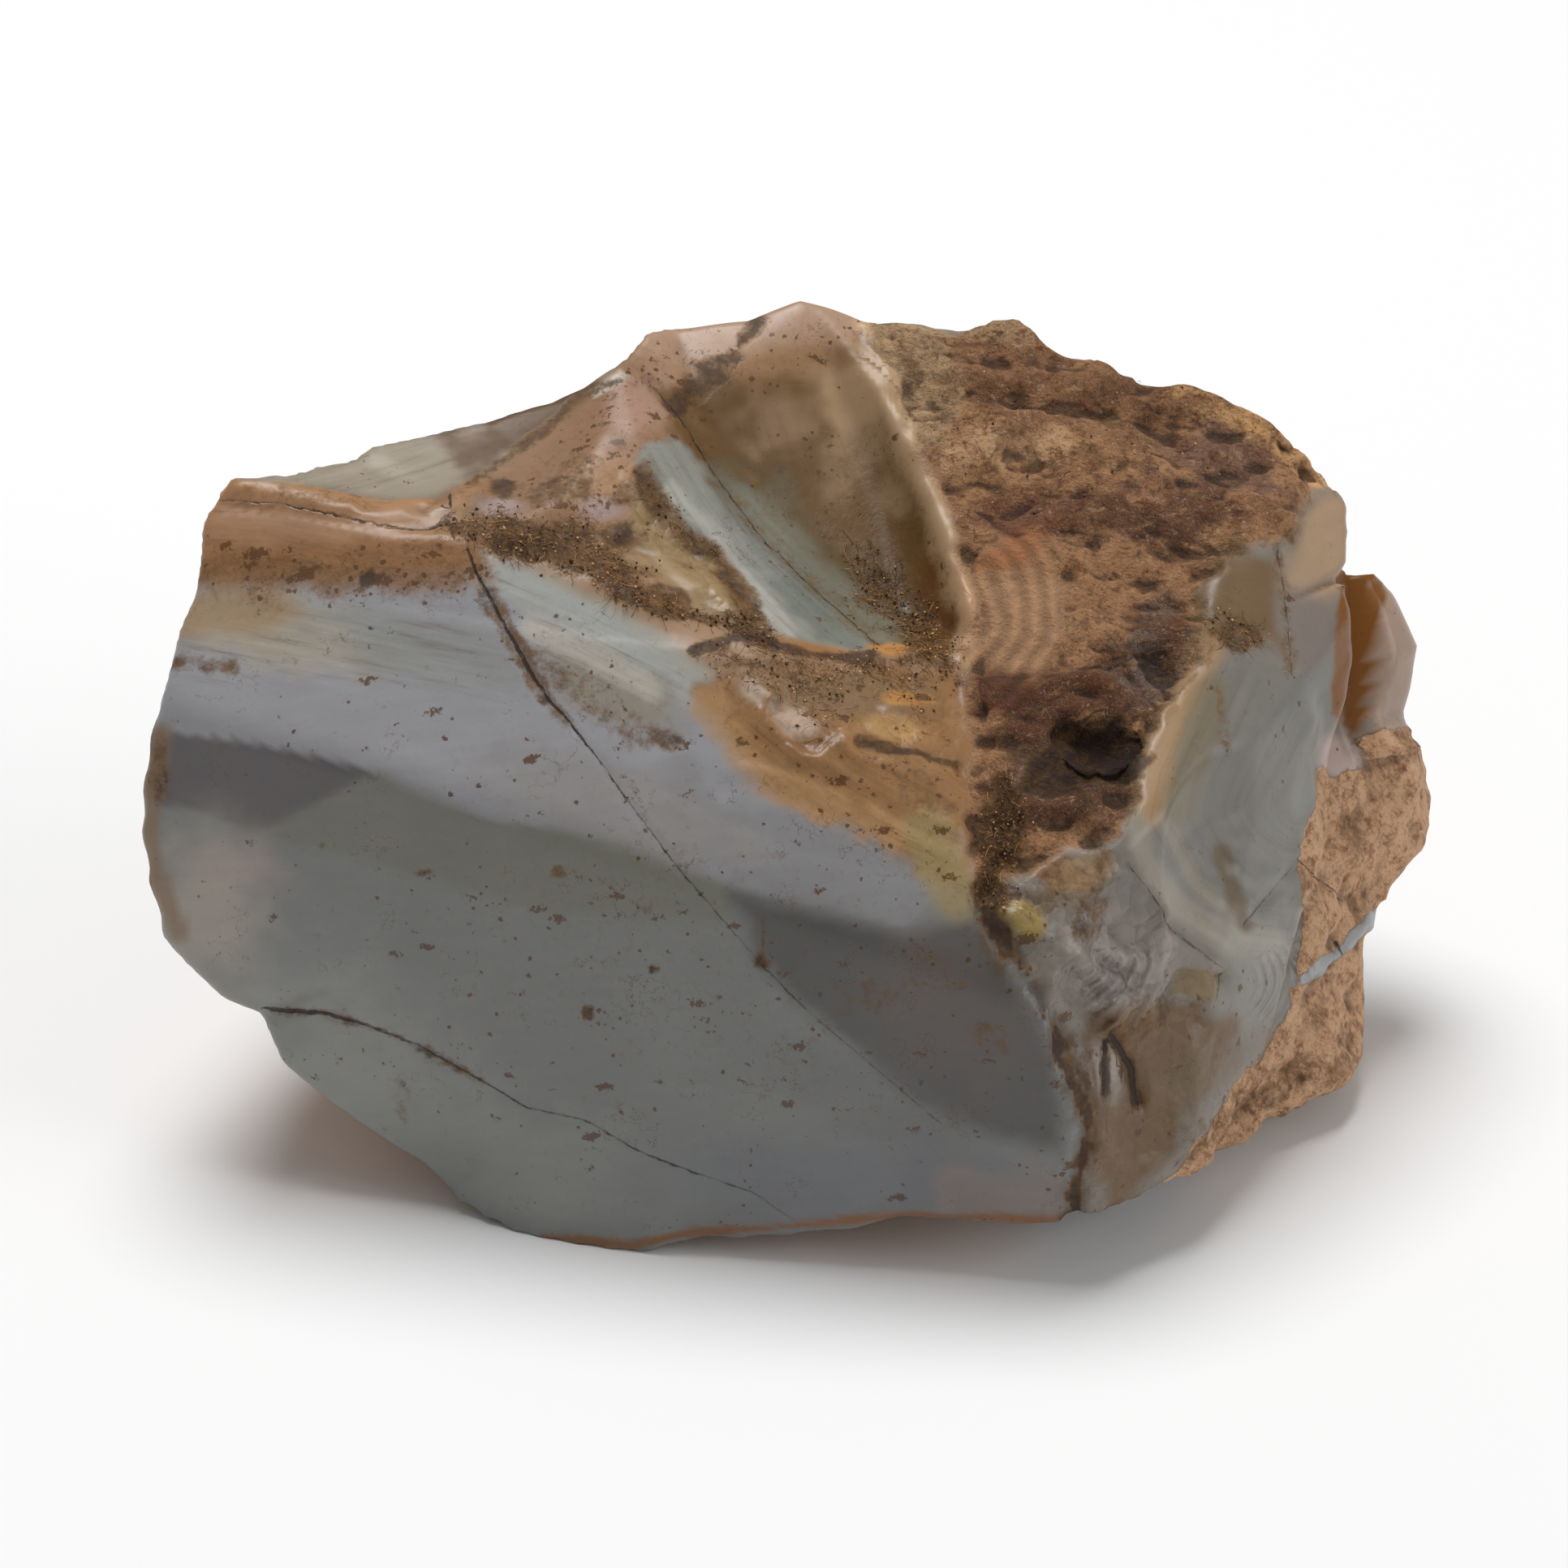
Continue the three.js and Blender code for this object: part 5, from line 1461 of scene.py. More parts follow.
class Palette(Enum):
    """The stone's own colours, before light falls on them."""

    OPAL = (134, 134, 131)
    DEEP_OPAL = (116, 114, 112)
    CRUST = (230, 182, 142)
    DARK_CRUST = (92, 56, 30)
    RUST = (132, 72, 38)
    BROWN = (118, 76, 42)
    THIN_STAIN = (106, 72, 22)
    DARK_STAIN = (42, 20, 5)
    GOLDEN = (214, 166, 108)
    PALE_GRIT = (226, 200, 164)
    EARTH = (114, 76, 34)
    DARK_EARTH = (38, 20, 6)
    CRACK = (34, 15, 4)
    SPECK = (82, 50, 18)

    @property
    def rgba(self) -> tuple[float, float, float, float]:
        """The colour as light, with full cover."""
        return (*(float(c) for c in linear(self.value)), 1.0)


Socket = bpy.types.NodeSocket
Value = float | Socket


class NodeGraph:
    """Lays out the nodes of one material, with places in millimetres."""

    def __init__(self, name: str) -> None:
        """Starts an empty material.

        Args:
            name: the material's name.
        """
        self.material = bpy.data.materials.new(name)
        self.material.use_nodes = True
        self.tree = self.material.node_tree
        self.tree.nodes.clear()

    @cached_property
    def here(self) -> Socket:
        """Places on the piece in millimetres."""
        return self.place()

    def node(self, kind: str, inputs: dict | None = None, **settings: object) -> bpy.types.Node:
        """Adds a node.

        Args:
            kind: the node's type, after "ShaderNode".
            inputs: numbers, colours or sockets for its inputs.
            settings: its own settings.

        Returns:
            The node.
        """
        made = self.tree.nodes.new("ShaderNode" + kind)
        for name, value in settings.items():
            setattr(made, name, value)
        for name, value in (inputs or {}).items():
            if isinstance(value, Socket):
                self.tree.links.new(value, made.inputs[name])
            else:
                made.inputs[name].default_value = value
        return made

    def surface(self, colour: object, roughness: Value, **inputs: object) -> bpy.types.Material:
        """Ends the graph with its one shader.

        Args:
            colour: the base colour or its socket.
            roughness: how dull the surface is.
            inputs: the shader's other inputs, with underscores for spaces.

        Returns:
            The finished material.
        """
        named = {name.replace("_", " "): value for name, value in inputs.items()}
        shader = self.node("BsdfPrincipled", {"Base Color": colour, "Roughness": roughness, **named})
        self.node("OutputMaterial", {"Surface": shader.outputs[0]})
        return self.material

    def math(self, operation: str, a: Value, b: Value = 0.0) -> Socket:
        """One sum of two values."""
        return self.node("Math", {0: a, 1: b}, operation=operation).outputs[0]

    def add(self, *values: Value) -> Socket:
        """The sum of all the values."""
        return reduce(partial(self.math, "ADD"), values)

    def times(self, *values: Value) -> Socket:
        """The product of all the values."""
        return reduce(partial(self.math, "MULTIPLY"), values)

    def most(self, *values: Value) -> Socket:
        """The greatest of the values."""
        return reduce(partial(self.math, "MAXIMUM"), values)

    def about(self, value: Socket, size: Value) -> Socket:
        """Noise about 0.5 turned into noise about 0, times a size."""
        return self.times(self.add(value, -0.5), size)

    def step(self, value: Value, start: float, end: float, low: float = 0.0,
             high: float = 1.0) -> Socket:
        """Runs smoothly from low to high as the value goes from start to end."""
        inputs = {"Value": value, "From Min": start, "From Max": end, "To Min": low, "To Max": high}
        return self.node("MapRange", inputs, interpolation_type="SMOOTHSTEP").outputs["Result"]

    def blend(self, share: Value, low: object, high: object, way: str = "MIX") -> Socket:
        """A colour or socket moved toward another by a share, or mixed with it in another way."""
        made = self.node("Mix", {0: share, 6: low, 7: high}, data_type="RGBA", blend_type=way)
        return made.outputs[2]

    def field(self, name: str, output: str = "Fac") -> Socket:
        """One of the mesh's own fields, as a number or as a colour."""
        return self.node("Attribute", attribute_name=name).outputs[output]

    def place(self, scale: Triple = (1, 1, 1), turn: float = 0.0) -> Socket:
        """Object coordinates in millimetres, turned about Y and scaled.

        Args:
            scale: repeats per millimetre along each axis.
            turn: degrees about the Y axis.

        Returns:
            The vector's socket.
        """
        where = self.node("TexCoord").outputs["Object"]
        angles = (0, math.radians(turn), 0)
        turned = self.node("Mapping", {"Vector": where, "Rotation": angles}).outputs[0]
        size = tuple(s / MM for s in scale)
        return self.node("Mapping", {"Vector": turned, "Scale": size}).outputs[0]

    def noise(self, scale: float, detail: float = 2.0, roughness: float = 0.5,
              where: Socket | None = None, output: str = "Fac") -> Socket:
        """Fractal noise from 0 to 1 about 0.5, on the piece's places where none are given."""
        inputs = {"Vector": where or self.here, "Scale": scale, "Detail": detail, "Roughness": roughness}
        return self.node("TexNoise", inputs).outputs[output]

    def shifted(self, scale: float, size: float) -> Socket:
        """The piece's places, moved by noise about 0.

        Args:
            scale: the noise's scale.
            size: how far a noise of 1 moves a place, in millimetres.

        Returns:
            The moved places.
        """
        noise = self.noise(scale, output="Color")
        flat = self.node("VectorMath", {0: noise, 1: (0.5, 0.5, 0.5)}, operation="SUBTRACT")
        move = self.node("VectorMath", {0: flat.outputs[0], 3: size}, operation="SCALE")
        return self.node("VectorMath", {0: self.here, 1: move.outputs[0]}, operation="ADD").outputs[0]

    def cells(self, where: Socket, scale: float) -> tuple[Socket, Socket, Socket]:
        """Voronoi cells.

        Args:
            where: places.
            scale: cells per unit of place.

        Returns:
            The distance to the nearest middle, and two chances that each cell has.
        """
        made = self.node("TexVoronoi", {"Vector": where, "Scale": scale})
        split = self.node("SeparateColor", {0: made.outputs["Color"]})
        return made.outputs["Distance"], split.outputs[0], split.outputs[1]


class StoneGraph(NodeGraph):
    """The stone's graph, with the noises and the fields that several parts of its finish use."""

    def __init__(self, name: str) -> None:
        """Starts the graph with the shared values.

        Args:
            name: the material's name.
        """
        super().__init__(name)
        self.mottle = self.noise(0.75, 6, 0.7)
        self.fine = self.noise(3.4, 4, 0.72)
        self.matrix, self.soil, self.stain = (self.field(n) for n in ("matrix", "soil", "stain"))
        self.specks, self.layers = self.field("specks"), self.field("layers")
        self.crust_edge = self.add(self.field("crust"), self.about(self.noise(1.1, 5, 0.7), 1.4))
        self.crust = self.step(self.crust_edge, 0.44, 0.56)
        self.rocky = self.most(self.matrix, self.crust)


@dataclass(frozen=True)
class StoneFinish:
    """Opal, matrix, crust, stains, cracks and soil in one material, led by the skin's fields."""

    name: str = "opal_and_matrix"
    opal_gloss: float = 0.36
    rough_gloss: float = 0.82
    index: float = 1.45
    glow: float = 0.08
    glow_depth: float = 0.0012

    def build(self) -> bpy.types.Material:
        """Makes the material, whose colour, roughness and bump vary over the stone.

        Returns:
            The material.
        """
        g = StoneGraph(self.name)
        # The ripples and chips put painted light and shade into the colour, besides their bump.
        ripple, rib_painted_light = self.ribs(g)
        chip_height, chip_tone_and_painted_shade = self.chipped(g)
        colour = self.opal_colour(g, g.add(rib_painted_light, chip_tone_and_painted_shade))
        rim = g.times(g.step(g.crust_edge, 0.14, 0.46), 0.6)
        colour = g.blend(rim, colour, Palette.THIN_STAIN.rgba)
        colour = g.blend(g.crust, colour, Palette.CRUST.rgba)
        colour = self.rock_colour(g, colour)
        cover = self.stain_cover(g)
        crack = self.line_cover(g)
        colour = self.stained(g, colour, cover)
        colour = g.blend(self.speck_cover(g), colour, Palette.SPECK.rgba)
        colour = g.blend(crack, colour, Palette.CRACK.rgba)
        dust, earth = self.dusted(g)
        colour = g.blend(dust, colour, earth)

        dull = g.most(g.rocky, g.times(cover, 0.7), dust)
        gloss = g.add(g.times(dull, self.rough_gloss - self.opal_gloss), self.opal_gloss,
                      g.about(g.mottle, 0.2))
        height = g.add(
            g.times(g.about(g.mottle, 0.9), g.rocky), g.times(g.about(g.fine, 0.34), g.most(g.rocky, dust)),
            g.about(g.noise(0.5), 0.05), g.times(cover, -0.02), g.times(crack, -0.05), ripple, chip_height,
        )
        bump = g.node("Bump", {"Strength": 1.0, "Distance": MM, "Height": height})
        return g.surface(
            colour, gloss, Normal=bump.outputs["Normal"], IOR=self.index, Subsurface_Weight=self.glow,
            Subsurface_Radius=(1.0, 0.85, 0.7), Subsurface_Scale=self.glow_depth,
        )

    @staticmethod
    def ribs(g: StoneGraph) -> tuple[Socket, Socket]:
        """The ripples' relief and their painted light and shade: the cosine of a whole turn for each, by
        their height.

        Args:
            g: the graph.

        Returns:
            The height in millimetres, and the change of brightness that paints light on the crests and
            shade in the troughs.
        """
        wave = g.math("COSINE", g.times(g.field("rib_turn"), TURN))
        depth = g.field("rib_depth")
        # The second value paints light on the ripples' crests and shade in their troughs.
        return g.times(wave, depth), g.times(wave, depth, 1.3)

    @staticmethod
    def chipped(g: StoneGraph) -> tuple[Socket, Socket]:
        """The relief of broken chips, the domes of two uneven Voronoi nets, and their tone with painted
        shade.

        Args:
            g: the graph.

        Returns:
            The height in millimetres, and the change of brightness: each chip's own random tone, darker
            toward its edges as painted shade.
        """
        bent = g.shifted(0.6, 0.8)
        wide, tone, _ = g.cells(bent, 0.5)
        small, fleck, _ = g.cells(bent, 1.3)
        chips = g.field("chips")
        height = g.add(g.times(wide, -0.3), g.times(small, -0.14), g.times(tone, 0.25),
                       g.times(fleck, 0.1))
        # Each chip's own random tone, with painted shade that darkens it toward its edges as its dome
        # falls.
        shade = g.add(g.about(tone, 0.4), g.about(fleck, 0.3), g.times(wide, -0.3), 0.12)
        return g.times(height, chips), g.times(shade, chips)

    @staticmethod
    def opal_colour(g: StoneGraph, shade: Socket) -> Socket:
        """The painted colour with streaks, layers, clouds and fine grain worked in.

        Args:
            g: the graph.
            shade: a change of brightness to add: the painted light and shade of the ripples and chips, with
                the chips' own tones.

        Returns:
            The colour.
        """
        streaks = g.noise(1.0, 4, 0.62, g.place((0.1, 1.5, 1.5), 12))
        along = g.node("SeparateXYZ", {0: g.here}).outputs[0]
        flow = g.node("CombineXYZ", {0: g.times(g.field("flow"), 1.8), 1: g.times(along, 0.12)})
        layers = g.noise(1.0, 4, 0.7, flow.outputs[0])
        light = g.add(
            g.about(streaks, 0.16), g.about(layers, g.times(g.layers, 0.8)), shade,
            g.about(g.noise(0.15), 0.25), g.about(g.fine, 0.08), 1.0,
        )
        whole = g.node("CombineColor", {0: light, 1: light, 2: light}).outputs[0]
        colour = g.blend(1.0, g.field("tone", "Color"), whole, "MULTIPLY")
        brown = g.times(g.step(layers, 0.45, 0.3), g.layers, 0.35)
        return g.blend(brown, colour, Palette.THIN_STAIN.rgba)

    @staticmethod
    def rock_colour(g: StoneGraph, colour: Socket) -> Socket:
        """Mottles the matrix and the crust with rust, dark and golden patches, and their dents.

        Args:
            g: the graph.
            colour: the painted colour.

        Returns:
            The mottled colour.
        """
        layers = g.noise(1.0, 7, 0.74, g.place((0.3, 0.8, 1.2), 14))
        slanting = g.noise(1.0, 6, 0.74, g.place((0.6, 1.3, 1.3), -38))
        middling = g.noise(1.5, 6, 0.74)
        broad = g.noise(0.28, 6, 0.72)
        veins = g.step(g.math("ABSOLUTE", g.add(middling, -0.5)), 0.018, 0.0)
        matrix = g.times(g.matrix, g.step(g.field("rib_depth"), 0.0, 0.15, 1.0, 0.2))
        rocky = g.most(matrix, g.crust)
        patches = (
            (g.step(layers, 0.5, 0.68), matrix, 0.75, Palette.DARK_CRUST),
            (g.step(layers, 0.46, 0.32), matrix, 0.55, Palette.GOLDEN),
            (g.step(broad, 0.5, 0.6), matrix, 0.6, Palette.DARK_CRUST),
            (g.step(broad, 0.5, 0.66), g.crust, 0.6, Palette.BROWN),
            (g.step(g.mottle, 0.54, 0.66), rocky, 0.5, Palette.RUST),
            (g.step(slanting, 0.48, 0.68), g.crust, 0.75, Palette.BROWN),
            (g.step(slanting, 0.46, 0.34), g.crust, 0.6, Palette.PALE_GRIT),
            (g.step(middling, 0.54, 0.66), matrix, 0.65, Palette.DARK_CRUST),
            (g.step(middling, 0.5, 0.7), g.crust, 0.55, Palette.BROWN),
            (g.step(middling, 0.44, 0.3), rocky, 0.5, Palette.PALE_GRIT),
            (veins, matrix, 0.35, Palette.GOLDEN),
            (g.step(g.fine, 0.46, 0.32), matrix, 0.5, Palette.DARK_EARTH),
            (g.step(g.fine, 0.48, 0.3), g.crust, 0.4, Palette.BROWN),
            (g.step(g.fine, 0.6, 0.72), rocky, 0.4, Palette.PALE_GRIT),
        )
        for cover, where, strength, shade in patches:
            colour = g.blend(g.times(cover, where, strength), colour, shade.rgba)
        dents = g.step(g.field("cavity"), 0.015, 0.16)
        dirt = g.times(dents, g.add(g.times(g.matrix, 0.45), g.times(g.crust, 0.2), 0.25))
        return g.blend(dirt, colour, Palette.DARK_EARTH.rgba)

    @staticmethod
    def stain_cover(g: StoneGraph) -> Socket:
        """Where the stain lies: its field plus noise, soft from bare to nearly opaque."""
        amount = g.add(g.stain, g.about(g.noise(1.25, 5, 0.7), 1.5), g.about(g.fine, 0.5))
        return g.times(g.step(amount, 0.2, 0.85, 0.0, 0.88), g.step(g.stain, 0.02, 0.3))

    @staticmethod
    def stained(g: StoneGraph, colour: Socket, cover: Socket) -> Socket:
        """Lays the stain, darker where there is more of it, and a fine brown veil.

        Args:
            g: the graph.
            colour: the colour below.
            cover: where the stain lies.

        Returns:
            The stained colour.
        """
        depth = g.add(g.times(g.stain, 0.9), g.about(g.mottle, 1.8))
        shade = g.blend(g.step(depth, 0.3, 1.0), Palette.THIN_STAIN.rgba, Palette.DARK_STAIN.rgba)
        colour = g.blend(cover, colour, shade)
        veil = g.times(g.step(g.noise(1.8, 7, 0.78), 0.5, 0.64), g.specks, g.step(g.rocky, 0.6, 0.2), 0.5)
        return g.blend(veil, colour, Palette.THIN_STAIN.rgba)

    @staticmethod
    def dusted(g: StoneGraph) -> tuple[Socket, Socket]:
        """Dry soil on the stone, dark and golden by turns.

        Args:
            g: the graph.

        Returns:
            The soil's cover and its colour.
        """
        amount = g.add(g.soil, g.about(g.fine, 1.8), g.about(g.mottle, 1.5))
        earth = g.blend(g.step(g.fine, 0.4, 0.62), Palette.DARK_EARTH.rgba, Palette.EARTH.rgba)
        earth = g.blend(g.times(g.step(g.fine, 0.58, 0.72), 0.6), earth, Palette.GOLDEN.rgba)
        return g.step(amount, 0.35, 0.95, 0.0, 0.85), earth

    @staticmethod
    def speck_cover(g: StoneGraph) -> Socket:
        """Small dark specks: the uneven middles of some cells of two Voronoi nets, and scratches.

        Args:
            g: the graph.

        Returns:
            The specks' cover.
        """
        clumps = g.about(g.noise(0.4, 3, 0.6), 1.4)
        covers = []
        for where, size, share in ((g.place((0.55, 1.2, 1.2), 12), 1.0, 0.55), (g.here, 2.4, 0.4)):
            distance, keep, wide = g.cells(where, size)
            some = g.step(g.add(keep, g.times(g.specks, share), clumps), 0.93, 0.99)
            reach = g.times(wide, wide, g.add(g.times(g.specks, 0.3), 0.3))
            edge = g.add(reach, 0.05, g.about(g.fine, 1.5), g.times(distance, -1.0))
            covers.append(g.times(g.step(edge, 0.0, 0.1), some))
        scratch = g.math("ABSOLUTE", g.add(g.noise(0.8, 4, 0.6), -0.5))
        where = g.step(g.add(g.noise(0.3, 3), g.times(g.specks, 0.12)), 0.58, 0.66)
        covers.append(g.times(g.step(scratch, 0.012, 0.0), where, 0.8))
        return g.times(g.most(*covers), g.step(g.rocky, 0.6, 0.2, 0.0, 0.82))

    @staticmethod
    def line_cover(g: StoneGraph) -> Socket:
        """Thin lines: where the signed distance to a line's path is less than its half width.

        Args:
            g: the graph.

        Returns:
            The lines' cover.
        """
        width = g.field("line_width")
        wander = g.noise(1.1, 4, 0.62)
        side = g.math("ABSOLUTE", g.add(g.field("line_side"), g.about(wander, 0.3)))
        inside = g.add(width, g.about(g.noise(2.6, 3), 0.14), g.times(side, -1.0))
        broken = g.step(g.add(wander, g.times(width, 2.0)), 0.45, 0.72, 0.25, 0.9)
        return g.times(g.step(inside, -0.04, 0.05), broken)


def put(name: str, data: bpy.types.ID) -> bpy.types.Object:
    """Puts one object into the scene, at the origin.

    Args:
        name: the object's name.
        data: its mesh, lamp or camera.

    Returns:
        The object.
    """
    made = bpy.data.objects.new(name, data)
    bpy.context.scene.collection.objects.link(made)
    return made


def new_piece(name: str, points: Array, faces: Array, material: bpy.types.Material) -> bpy.types.Object:
    """Puts a mesh into the scene as one object at the origin.

    Args:
        name: the piece's name.
        points: corner places in metres.
        faces: corner numbers, three for each face.
        material: its finish.

    Returns:
        The object.
    """
    mesh = bpy.data.meshes.new(name)
    mesh.vertices.add(len(points))
    mesh.vertices.foreach_set("co", points.astype(np.float32).ravel())
    mesh.loops.add(faces.size)
    mesh.loops.foreach_set("vertex_index", faces.astype(np.int32).ravel())
    mesh.polygons.add(len(faces))
    mesh.polygons.foreach_set("loop_start", np.arange(0, faces.size, 3, dtype=np.int32))
    mesh.update(calc_edges=True)
    mesh.validate()
    mesh.materials.append(material)
    return put(name, mesh)


def give_field(piece: bpy.types.Object, name: str, values: Array) -> None:
    """Stores one value, or one colour, for each corner of a piece.

    Args:
        piece: the object.
        name: the field's name.
        values: one number or one red, green and blue for each corner.
    """
    if values.ndim == 1:
        store = piece.data.attributes.new(name, "FLOAT", "POINT")
        store.data.foreach_set("value", values.astype(np.float32))
        return
    store = piece.data.attributes.new(name, "FLOAT_COLOR", "POINT")
    full = np.concatenate([values, np.ones((len(values), 1))], axis=1)
    store.data.foreach_set("color", full.astype(np.float32).ravel())


def placed(points: Array) -> Array:
    """Places of the lump in metres, standing on its underside about the middle of the base."""
    return (points - (*BASE_CENTRE, -BASE_DROP)) * MM


@dataclass(frozen=True)
class EyeBias:
    """How much closer the net's corners lie where the eye sees the front and the top right."""

    front: float = 2.2
    right: float = 1.0
    front_from: float = -14.0
    front_rise: float = 14.0
    right_from: float = 10.0
    right_rise: float = 20.0
    right_depth: float = -12.0

    def pull(self, places: Array) -> Array:
        """How strongly the net draws together at each place.

        Args:
            places: places on the plain skin.

        Returns:
            1 at the back and more toward the eye.
        """
        across, up, depth = VIEW.on_view(places)
        front = ease((depth - self.front_from) / self.front_rise)
        right = ease((across + up - self.right_from) / self.right_rise) * (depth > self.right_depth)
        return 1 + self.front * front + self.right * right


@dataclass
class OpalLump:
    """The whole lump: its skin, its finer relief and the fields that its finish reads."""

    coarse_cells: int = 32
    refine: int = 4
    rounds: int = 90
    settling: float = 0.65
    form: LumpForm = field(default_factory=LumpForm)
    relief: StoneRelief = field(default_factory=StoneRelief)
    bias: EyeBias = field(default_factory=EyeBias)
    finish: StoneFinish = field(default_factory=StoneFinish)
    rock_ripples: tuple[Ripple, ...] = (Ripple(1.5, 0.26, 11), Ripple(0.8, 0.16, 12))
    crust_ripples: tuple[Ripple, ...] = (Ripple(2.1, 0.3, 13), Ripple(0.95, 0.2, 14))
    soil_grit: Ripple = Ripple(0.7, 0.1, 15)
    layer_height: float = 0.8
    crack_depth: float = 0.08
    fit: OutlineFit = field(init=False)
    mesh: SkinMesh = field(init=False)
    normals: Array = field(init=False)
    seen: Seen = field(init=False)
    fields: dict[str, Array] = field(init=False)

    def skin(self, rays: Array) -> Array:
        """The skin before the finer relief: radius, plus relief, drawn to the outline.

        Args:
            rays: directions of length 1 from the heart.

        Returns:
            One place for each ray.
        """
        radius = self.form.radius(rays)
        plain = HEART + rays * radius[:, None]
        worn = HEART + rays * (radius + self.relief.height(plain))[:, None]
        return self.fit.fit(worn)

    def even_rays(self) -> tuple[CubeLattice, Array]:
        """Rays whose places on the plain skin lie evenly, closer together where the eye looks.

        Each corner of a coarse lattice is drawn to the weighted middle of its neighbours' places
        on the plain skin, over and over, as a net of springs settles.

        Returns:
            The fine lattice and its rays.
        """
        lattice = CubeLattice(self.coarse_cells)
        quads, rays = lattice.quads(), lattice.rays()
        start, end = quads.ravel(), np.roll(quads, -1, axis=1).ravel()
        for _ in range(self.rounds):
            places = HEART + rays * self.form.radius(rays)[:, None]
            pull = self.bias.pull(places)
            stiff = pull[start] + pull[end]

            def gathered(at_start: Array | float, at_end: Array | float) -> Array:
                """The weighted sum of the values at the far ends of each corner's sides."""
                there = np.bincount(start, stiff * at_end, len(rays))
                return there + np.bincount(end, stiff * at_start, len(rays))

            total = gathered(1.0, 1.0)
            middle = np.stack([gathered(p[start], p[end]) / total for p in places.T], axis=1)
            rays = unit((1 - self.settling) * places + self.settling * middle - HEART)
        fine, fine_rays = lattice.refine(rays, self.refine)
        return fine, unit(fine_rays)

    def shape(self) -> None:
        """Works out the skin, its fields and the finer relief."""
        self.fit = OutlineFit(self.form)
        lattice, rays = self.even_rays()
        self.mesh = SkinMesh(self.skin(rays), lattice.quads())
        normals = self.mesh.normals()
        self.paint(normals)
        moved = self.mesh.points + normals * self.texture()[:, None]
        moved[:, 2] = np.maximum(moved[:, 2], -BASE_DROP)
        self.mesh.points = moved
        self.normals = self.mesh.normals()
        smooth = self.mesh.spread(moved, 6)
        self.fields["cavity"] = ((smooth - moved) * self.normals).sum(axis=1)

    def texture(self) -> Array:
        """How far the finer relief moves each corner outward.

        Matrix gets broken layers and ripples, crust gets ripples, soil gets grit, lines get a
        groove, and the ridges and ledges are added one by one where the skin faces the eye.

        Returns:
            Heights in millimetres.
        """
        points, fields = self.mesh.points, self.fields
        matrix = fields["matrix"] * (1 - np.minimum(fields["rib_depth"] * 5, 0.9))
        crust = fields["crust"]
        height = (self.layer_height * terraces(points)) * matrix
        height += sum(r.at(points * (0.6, 1, 1)) for r in self.rock_ripples) * matrix
        height += sum(r.at(points) for r in self.crust_ripples) * crust
        height += self.soil_grit.at(points) * fields["soil"]
        inside = fields["line_width"] - np.abs(fields["line_side"])
        height -= self.crack_depth * ease(inside / 0.3 + 0.6) * (1 - np.maximum(matrix, crust))
        for mark in RELIEF:
            close = mark.near(self.seen)
            part = self.seen.only(close)
            height[close] += mark.relief(part) * part.facing
        return height

    def paint(self, normals: Array) -> None:
        """Fills the fields that the finish reads: marks in front, patches of crust behind.

        Args:
            normals: the skin's outward directions.
        """
        points = self.mesh.points
        across, up, _ = VIEW.on_view(points)
        soft_normals = unit(self.mesh.spread(normals, 8))
        facing = ease((soft_normals @ TOWARD + 0.26) / 0.24)
        behind = 1 - facing
        wobble = 0.8 * noise(points, 2.1, 21) + 0.5 * noise(points, 0.9, 22)
        self.seen = Seen(points, across, up, facing, wobble)
        shade = ease(noise(points, 11, 25) + 0.5)[:, None]
        plain, deep = linear(Palette.OPAL.value), linear(Palette.DEEP_OPAL.value)
        canvas = Canvas(self.seen, plain + (deep - plain) * shade, np.zeros(len(points)))
        for kind, marks in MARKS.items():
            canvas.lay(kind, marks)
        fields = {kind.value: layer for kind, layer in canvas.layers.items()}
        bare = fields.pop("bare")
        fields["tone"] = canvas.tone
        fields["flow"] = canvas.flow + behind * (points @ (0.1, 0.12, 0.34))
        fields["layers"] = np.maximum(fields["layers"], 0.5 * behind)
        behind_stain = behind * 0.35 * ease(noise(points, 6, 26) * 1.5)
        fields["stain"] = np.maximum(fields["stain"], behind_stain)
        fields["matrix"] = facing * ease((inside_by(MATRIX_EDGE, across, up) + 0.6 * wobble) / 1.0 + 0.5)
        crust_front = facing * ease((inside_by(CRUST_EDGE, across, up) + 0.3 * wobble) / 0.5 + 0.5)
        patchy = noise(points, 17, 23) + 0.5 * noise(points, 6, 24) + 0.3 * noise(points, 2.4, 27)
        crust_behind = behind * (1 - ease(patchy / 0.3 + 0.1))
        fields["crust"] = np.maximum(crust_front * (1 - bare), crust_behind)
        fields["line_side"], fields["line_width"] = line_fields(self.seen)
        fields["rib_turn"], fields["rib_depth"] = rib_fields(self.seen)
        self.fields = fields

    def triangles(self) -> Array:
        """Two triangles for each quad, split along its shorter diagonal.

        Returns:
            Three corner numbers for each triangle.
        """
        p, q = self.mesh.points, self.mesh.quads
        rising = np.linalg.norm(p[q[:, 0]] - p[q[:, 2]], axis=1)
        falling = np.linalg.norm(p[q[:, 1]] - p[q[:, 3]], axis=1)
        split = (rising <= falling)[:, None]
        first = np.where(split, q[:, [0, 1, 2]], q[:, [0, 1, 3]])
        second = np.where(split, q[:, [0, 2, 3]], q[:, [1, 2, 3]])
        return np.concatenate([first, second])

    def build(self) -> bpy.types.Object:
        """Makes the lump's object in place of the plain solid.

        Returns:
            The object.
        """
        self.shape()
        piece = new_piece("opal_lump", placed(self.mesh.points), self.triangles(), self.finish.build())
        piece.data.shade_smooth()
        for name, values in self.fields.items():
            give_field(piece, name, values)
        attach(piece, BODY)
        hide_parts(NODE)
        return piece


